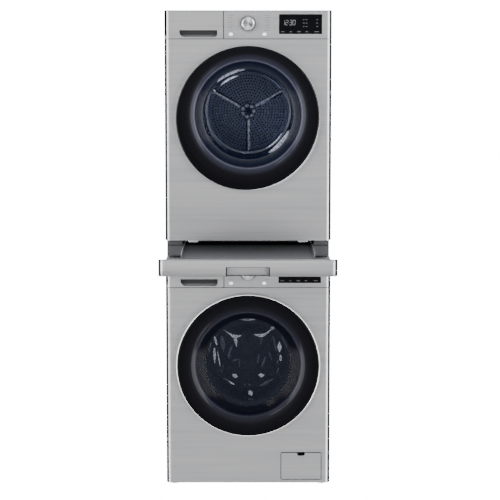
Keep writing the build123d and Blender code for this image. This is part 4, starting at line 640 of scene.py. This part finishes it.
def caught_light(name, strokes, centre, y, material, body):
    """Slivers of light caught in a moulded window, which are looks and no part of the machine. Each stroke is a run
    of (x, height from the window's middle, width) in millimetres, and tapers at its ends."""
    vertices, faces = [], []
    for stroke in strokes:
        start = len(vertices)
        run = rounded_profile(stroke, 6)
        for n, (x, z, width) in enumerate(run):
            ahead, back = run[min(n + 1, len(run) - 1)], run[max(n - 1, 0)]
            length = math.hypot(ahead[0] - back[0], ahead[1] - back[1]) or 1.0
            nx, nz = -(ahead[1] - back[1]) / length, (ahead[0] - back[0]) / length
            taper = math.sin(math.pi * (n + 0.4) / (len(run) - 0.2)) ** 0.6
            half = 0.5 * width * taper
            vertices += [(x + nx * half, y, centre + z + nz * half), (x - nx * half, y, centre + z - nz * half)]
        for n in range(len(run) - 1):
            a = start + 2 * n
            faces.append((a, a + 1, a + 3, a + 2))
    return new_piece(name, vertices, faces, material, body)


def arc(radius, first, last, width):
    """A stroke along a circle round the window's middle, between two angles in degrees."""
    return [(radius * math.cos(math.radians(a)), radius * math.sin(math.radians(a)), width)
            for a in (first + (last - first) * n / 6 for n in range(7))]


def glow(name, shade, strength):
    """A cool shine mottled at 5 mm, for light caught in the smoked windows and for the dryer drum's ribs and hub
    lobes. It gives off light itself, so it doesn't dim with the light around it."""
    material, tree, shader = finish(name, Roughness=0.3)
    shader.inputs["Emission Strength"].default_value = strength
    place = add(tree, "ShaderNodeTexCoord").outputs["Object"]
    mottle = add(tree, "ShaderNodeTexNoise", {"Vector": place, "Scale": 200.0, "Detail": 2.0})
    level = add(tree, "ShaderNodeMapRange", {"Value": mottle.outputs[0], "From Min": 0.3, "From Max": 0.6})
    tone = blend_of(tree, level.outputs[0], colour("#20222E"), colour(shade))
    tree.links.new(tone, shader.inputs["Emission Color"])
    shader.inputs["Base Color"].default_value = colour("#10121A")
    return material


# Painted highlight for the ribs, and painted shade for the folds beside them; the hub's socket takes the dark one too.
RIB_GLOW_AND_FOLD_SHADE = {"rib": glow("glowing_rib_highlight", "#A4ABBC", 1.1), "fold": moulded("fold_shade_and_socket_black", "#0B0E18", "#080A12", 0.5)}
hub_cap()
drum_ribs()
BRIGHT, FAINT = glow("caught_light_bright", "#C6CADC", 3.0), glow("caught_light_faint", "#8890A8", 1.0)
caught_light("dryer_window_light", [arc(160, 94, 134, 12.0), arc(142, 104, 134, 7.0), arc(158, -22, -62, 15.0),
                                    arc(140, -30, -62, 5.0), [(-124, 86, 7), (-118, 82, 6)]],
             DRYER_DISH, DOOR_FACE + 50.0, BRIGHT, "dryer_door")
caught_light("dryer_window_shine", [arc(149, 14, 70, 4.0), arc(150, 158, 240, 3.5), [(-132, 74, 5), (-122, 76, 5)],
                                    [(-24, -140, 5), (-10, -141, 7), (6, -140, 4)], arc(172, -95, -40, 5.0),
                                    [(-103, 66, 4), (-90, 58, 6), (-76, 50, 3)],
                                    [(34, 28, 8), (60, 42, 7), (82, 52, 3)],
                                    [(2, -62, 3), (4, -96, 6), (8, -128, 4)]],
             DRYER_DISH, DOOR_FACE + 50.6, FAINT, "dryer_door")
WASHER_LIGHTS = [
    [(-32, 160, 4), (-2, 159, 9), (29, 160, 4)],
    [(-90, 122, 3), (-68, 107, 5), (-50, 97, 13), (-24, 100, 11)], [(-50, 100, 15), (-45, 78, 11), (-42, 58, 3)],
    [(22, 104, 9), (46, 100, 13), (64, 106, 8), (86, 124, 6)], [(82, 125, 13), (96, 130, 9)],
    [(-123, 98, 8), (-114, 64, 7)], [(-123, 54, 10), (-123, 26, 9), (-122, -4, 4)], [(-112, 42, 4), (-102, -16, 4)],
    [(115, 78, 5), (115, 57, 15), (115, 38, 6)], [(119, 28, 7), (119, 6, 10)],
    [(-58, -44, 6), (-48, -50, 16), (-38, -54, 6)], [(38, -46, 6), (49, -48, 15), (60, -46, 5)],
    [(5, -104, 8), (9, -114, 18), (14, -124, 7)], [(-72, -68, 4), (-60, -77, 7), (-48, -83, 3)],
]
WASHER_SHINE = [
    [(-97, 100, 12), (-93, 70, 16), (-90, 40, 8)], [(-137, 76, 8), (-143, 36, 8)], [(-165, 50, 5), (-165, 10, 5)],
    [(-178, 20, 5), (-174, -16, 5)], [(-90, -58, 4), (-72, -68, 6)], [(91, 98, 6), (98, 66, 8), (104, 40, 6)],
    [(121, 100, 5), (134, 76, 8), (141, 55, 5)], [(158, 62, 6), (163, 34, 6)], [(176, 28, 5), (175, 2, 5)],
    [(110, 10, 7), (105, -6, 5)], [(-31, 14, 4), (-33, -18, 5)], [(-60, 3, 6), (-48, 9, 6), (-36, 12, 5)],
    [(40, 30, 5), (35, -4, 6)], [(63, 24, 6), (57, 2, 9), (50, -16, 6)], [(41, -88, 6), (66, -76, 11), (94, -60, 5)],
    [(1, -80, 5), (8, -88, 6)], [(0, -137, 5), (18, -137, 5)], [(-16, -82, 3), (-8, -84, 5)],
    [(150, -62, 6), (156, -66, 6)],
    [(50, 92, 8), (47, 66, 6)], [(-56, 64, 5), (-66, 44, 8), (-72, 14, 4)], [(-78, 30, 4), (-60, 22, 5)],
    [(76, 40, 4), (86, 10, 5)], [(112, -20, 5), (104, -44, 5)], [(-90, -8, 5), (-96, -38, 4)],
]
caught_light("washer_window_light", WASHER_LIGHTS, WASHER_DISH, DOOR_FACE + 50.0, BRIGHT, "washer_door")
caught_light("washer_window_shine", WASHER_SHINE, WASHER_DISH, DOOR_FACE + 50.6, FAINT, "washer_door")


# ---------------------------------------------------------------- controls
def flat_bars(name, bars, y, proud, material, body):
    """Thin printed or lit bars on a front, each (x0, z0, x1, z1, thickness) in millimetres."""
    vertices, faces = [], []
    for x0, z0, x1, z1, thick in bars:
        length = math.hypot(x1 - x0, z1 - z0)
        ux, uz = (x1 - x0) / length, (z1 - z0) / length
        nx, nz = -uz * thick / 2, ux * thick / 2
        ring = [(x0 + nx, z0 + nz), (x0 - ux * thick / 2, z0 - uz * thick / 2), (x0 - nx, z0 - nz)]
        ring += [(x1 - nx, z1 - nz), (x1 + ux * thick / 2, z1 + uz * thick / 2), (x1 + nx, z1 + nz)]
        start = len(vertices)
        vertices += [(x, y - proud, z) for x, z in ring] + [(x, y, z) for x, z in ring]
        faces.append(tuple(start + n for n in range(6)))
        faces.append(tuple(start + 11 - n for n in range(6)))
        for n in range(6):
            m = (n + 1) % 6
            faces.append((start + n, start + 6 + n, start + 6 + m, start + m))
    return new_piece(name, vertices, faces, material, body, smooth=False)


SEGMENTS = {"0": "abcdef", "1": "bc", "2": "abged", "3": "abgcd", "5": "afgcd", "8": "abcdefg"}


def digit_bars(text, x, z, width, height, thick, slant=0.12):
    """Seven-segment bars for a plain number."""
    corners = {"a": (0, 2, 1, 2), "b": (1, 2, 1, 1), "c": (1, 1, 1, 0), "d": (0, 0, 1, 0), "e": (0, 1, 0, 0)}
    corners.update({"f": (0, 2, 0, 1), "g": (0, 1, 1, 1)})
    bars = []
    for symbol in text:
        if symbol == ":":
            for low in (0.3, 0.68):
                top = low * height
                bars.append((x - 1 + slant * top, z + top, x - 0.4 + slant * top, z + top + 0.4, 1.4))
            x += 2.6
            continue
        for segment in SEGMENTS[symbol]:
            x0, z0, x1, z1 = corners[segment]
            inset = 0.9
            px0, pz0, px1, pz1 = x0 * width, z0 * height / 2, x1 * width, z1 * height / 2
            length = math.hypot(px1 - px0, pz1 - pz0)
            ux, uz = (px1 - px0) / length, (pz1 - pz0) / length
            px0, pz0, px1, pz1 = px0 + ux * inset, pz0 + uz * inset, px1 - ux * inset, pz1 - uz * inset
            bars.append((x + px0 + slant * pz0, z + pz0, x + px1 + slant * pz1, z + pz1, thick))
        x += width + 3.6
    return bars


# The knobs' collars are drawn here only: the panels have no such ring in their shape.
for machine, axis in (("washer", WASHER_LOW + SEAM_RISE + KNOB_RISE), ("dryer", DRYER_LOW + SEAM_RISE + KNOB_RISE)):
    rings = [(25.4, FRONT), (26.2, FRONT - 0.6), (32.6, FRONT - 0.6), (33.4, FRONT)]
    steps = COLLAR_STEPS
    spots = [(r * math.cos(2 * math.pi * n / steps), y, axis + r * math.sin(2 * math.pi * n / steps))
             for r, y in rings for n in range(steps)]
    facets = []
    for row in range(3):
        for n in range(steps):
            m, a, b = (n + 1) % steps, row * steps, (row + 1) * steps
            facets.append((a + n, b + n, b + m, a + m))
    satin = knob_collar(f"satin_knob_collar_{machine}", axis)
    new_piece(f"{machine}_knob_collar", spots, facets, satin, "cabinet")

printed = moulded("grey_print", "#5C5D60", "#525356", 0.6)
dim_print = moulded("dim_display_print", "#4A4C50", "#3E4043", 0.5)
digits_lit = lit_digits()
for machine, low, number in (("washer", WASHER_LOW, "0:58"), ("dryer", DRYER_LOW, "12:30")):
    seam = low + SEAM_RISE
    glass = FRONT - 0.4
    flat_bars(f"{machine}_display_digits", digit_bars(number, 121.0, seam + 49.5, 8.2, 17.0, 1.7), glass, 0.15,
              digits_lit, "cabinet")
    strip = [(x, seam + 25.5, x + w, seam + 25.5, 2.2)
             for x, w in ((118, 12), (149, 7), (176, 12), (206, 8), (238, 14))]
    strip += [(x, seam + h, x + 5, seam + h, 2.0) for x in (196, 206, 244) for h in (44, 56, 68)]
    flat_bars(f"{machine}_display_marks", strip, glass, 0.12, dim_print, "cabinet")
    names = [(-72, seam + 84 - 8.8 * n, -72 + w, seam + 84 - 8.8 * n, 1.4)
             for n, w in enumerate((23, 16, 20, 17, 21, 15, 19))]
    names += [(x, seam + 84 - 8.8 * n, 77, seam + 84 - 8.8 * n, 1.4)
              for n, x in enumerate((58, 62, 57, 63, 60, 64, 59))]
    flat_bars(f"{machine}_programme_marks", names, FRONT, 0.1, printed, "cabinet")


# ---------------------------------------------------------------- floor, light and camera
def studio_sweep():
    """White floor that turns up into a round wall. Only the camera sees it, so the stack is lit and reflected by
    the world's soft light alone. It is dimmed where it shows through a transparent surface, because its full glow
    would turn the window of an open door white."""
    profile = [(0.0, 0.0), (3.0, 0.0), (9.0, 0.0)]
    profile += [(9.0 + 5.0 * math.sin(a), 5.0 - 5.0 * math.cos(a)) for a in (n * math.pi / 24 for n in range(1, 13))]
    profile += [(14.0, 14.0)]
    sides = 96
    vertices = [(0.0, 0.0, 0.0)]
    for radius, height in profile[1:]:
        vertices += [(radius * math.cos(2 * math.pi * n / sides), radius * math.sin(2 * math.pi * n / sides), height)
                     for n in range(sides)]
    faces = [(0, 1 + n, 1 + (n + 1) % sides) for n in range(sides)]
    for row in range(len(profile) - 2):
        low, high = 1 + row * sides, 1 + (row + 1) * sides
        faces += [(low + n, high + n, high + (n + 1) % sides, low + (n + 1) % sides) for n in range(sides)]
    mesh = bpy.data.meshes.new("studio_sweep")
    mesh.from_pydata(vertices, [], faces)
    mesh.shade_smooth()
    sweep = bpy.data.objects.new("studio_sweep", mesh)
    bpy.context.scene.collection.objects.link(sweep)
    material, tree, shader = finish("white_studio_sweep", Roughness=0.9, Base_Color=colour("#3A3A3A"))
    shader.inputs["Emission Color"].default_value = colour("#FFFFFF")
    path = add(tree, "ShaderNodeLightPath")
    dimmed = add(tree, "ShaderNodeMapRange", {"Value": path.outputs["Transparent Depth"], "To Min": SWEEP_GLOW,
                                              "To Max": SWEEP_BEHIND_WINDOW})
    tree.links.new(dimmed.outputs[0], shader.inputs["Emission Strength"])
    mesh.materials.append(material)
    for kind in ("visible_diffuse", "visible_glossy", "visible_transmission", "visible_shadow"):
        setattr(sweep, kind, False)


def softbox(tree, way, aim, inner, outer, power):
    """A round soft light far away in one direction: full inside one angle, in degrees, and gone at another."""
    near = add(tree, "ShaderNodeVectorMath", {0: way, 1: tuple(Vector(aim).normalized())}, operation="DOT_PRODUCT")
    disc = add(tree, "ShaderNodeMapRange", {"Value": near.outputs["Value"], "From Min": math.cos(math.radians(outer)),
                                            "From Max": math.cos(math.radians(inner)), "To Max": power})
    return disc.outputs[0]


def studio_light():
    """Soft light from all round: fading downwards, brighter panels at both sides, and softboxes before the doors."""
    world = bpy.data.worlds.new("soft_studio")
    world.use_nodes = True
    tree = world.node_tree
    way = add(tree, "ShaderNodeTexCoord").outputs["Generated"]
    parts = add(tree, "ShaderNodeSeparateXYZ", {0: way})
    fall = add(tree, "ShaderNodeMapRange", {"Value": parts.outputs["Z"], "From Min": -0.6, "From Max": 0.4,
                                            "To Min": 0.22, "To Max": 0.86})
    across = add(tree, "ShaderNodeMath", {0: parts.outputs["X"]}, operation="ABSOLUTE")
    tall = add(tree, "ShaderNodeMath", {0: parts.outputs["Z"]}, operation="ABSOLUTE")
    panel = add(tree, "ShaderNodeMapRange", {"Value": across.outputs[0], "From Min": 0.44, "From Max": 0.6,
                                             "To Max": SIDE_PANEL_GLOW})
    band = add(tree, "ShaderNodeMapRange", {"Value": tall.outputs[0], "From Min": 0.5, "From Max": 0.38})
    sides = add(tree, "ShaderNodeMath", {0: panel.outputs[0], 1: band.outputs[0]}, operation="MULTIPLY")
    total = add(tree, "ShaderNodeMath", {0: fall.outputs[0], 1: sides.outputs[0]}, operation="ADD").outputs[0]
    for aim, inner, outer, power in SOFTBOXES:
        box = softbox(tree, way, aim, inner, outer, power)
        total = add(tree, "ShaderNodeMath", {0: total, 1: box}, operation="ADD").outputs[0]
    tree.nodes["Background"].inputs["Color"].default_value = colour("#F8F8F9")
    tree.links.new(total, tree.nodes["Background"].inputs["Strength"])
    bpy.context.scene.world = world


studio_sweep()
studio_light()

lens = bpy.data.cameras.new("camera")
lens.sensor_width = 36.0
lens.lens = 116.25
lens.shift_y = -0.0846
camera = bpy.data.objects.new("camera", lens)
camera.location = (0.00695, (FRONT - CAMERA_AWAY) * MM, 1.6565)
camera.rotation_euler = (math.radians(90 - CAMERA_TILT), 0, 0)
bpy.context.scene.collection.objects.link(camera)
bpy.context.scene.camera = camera
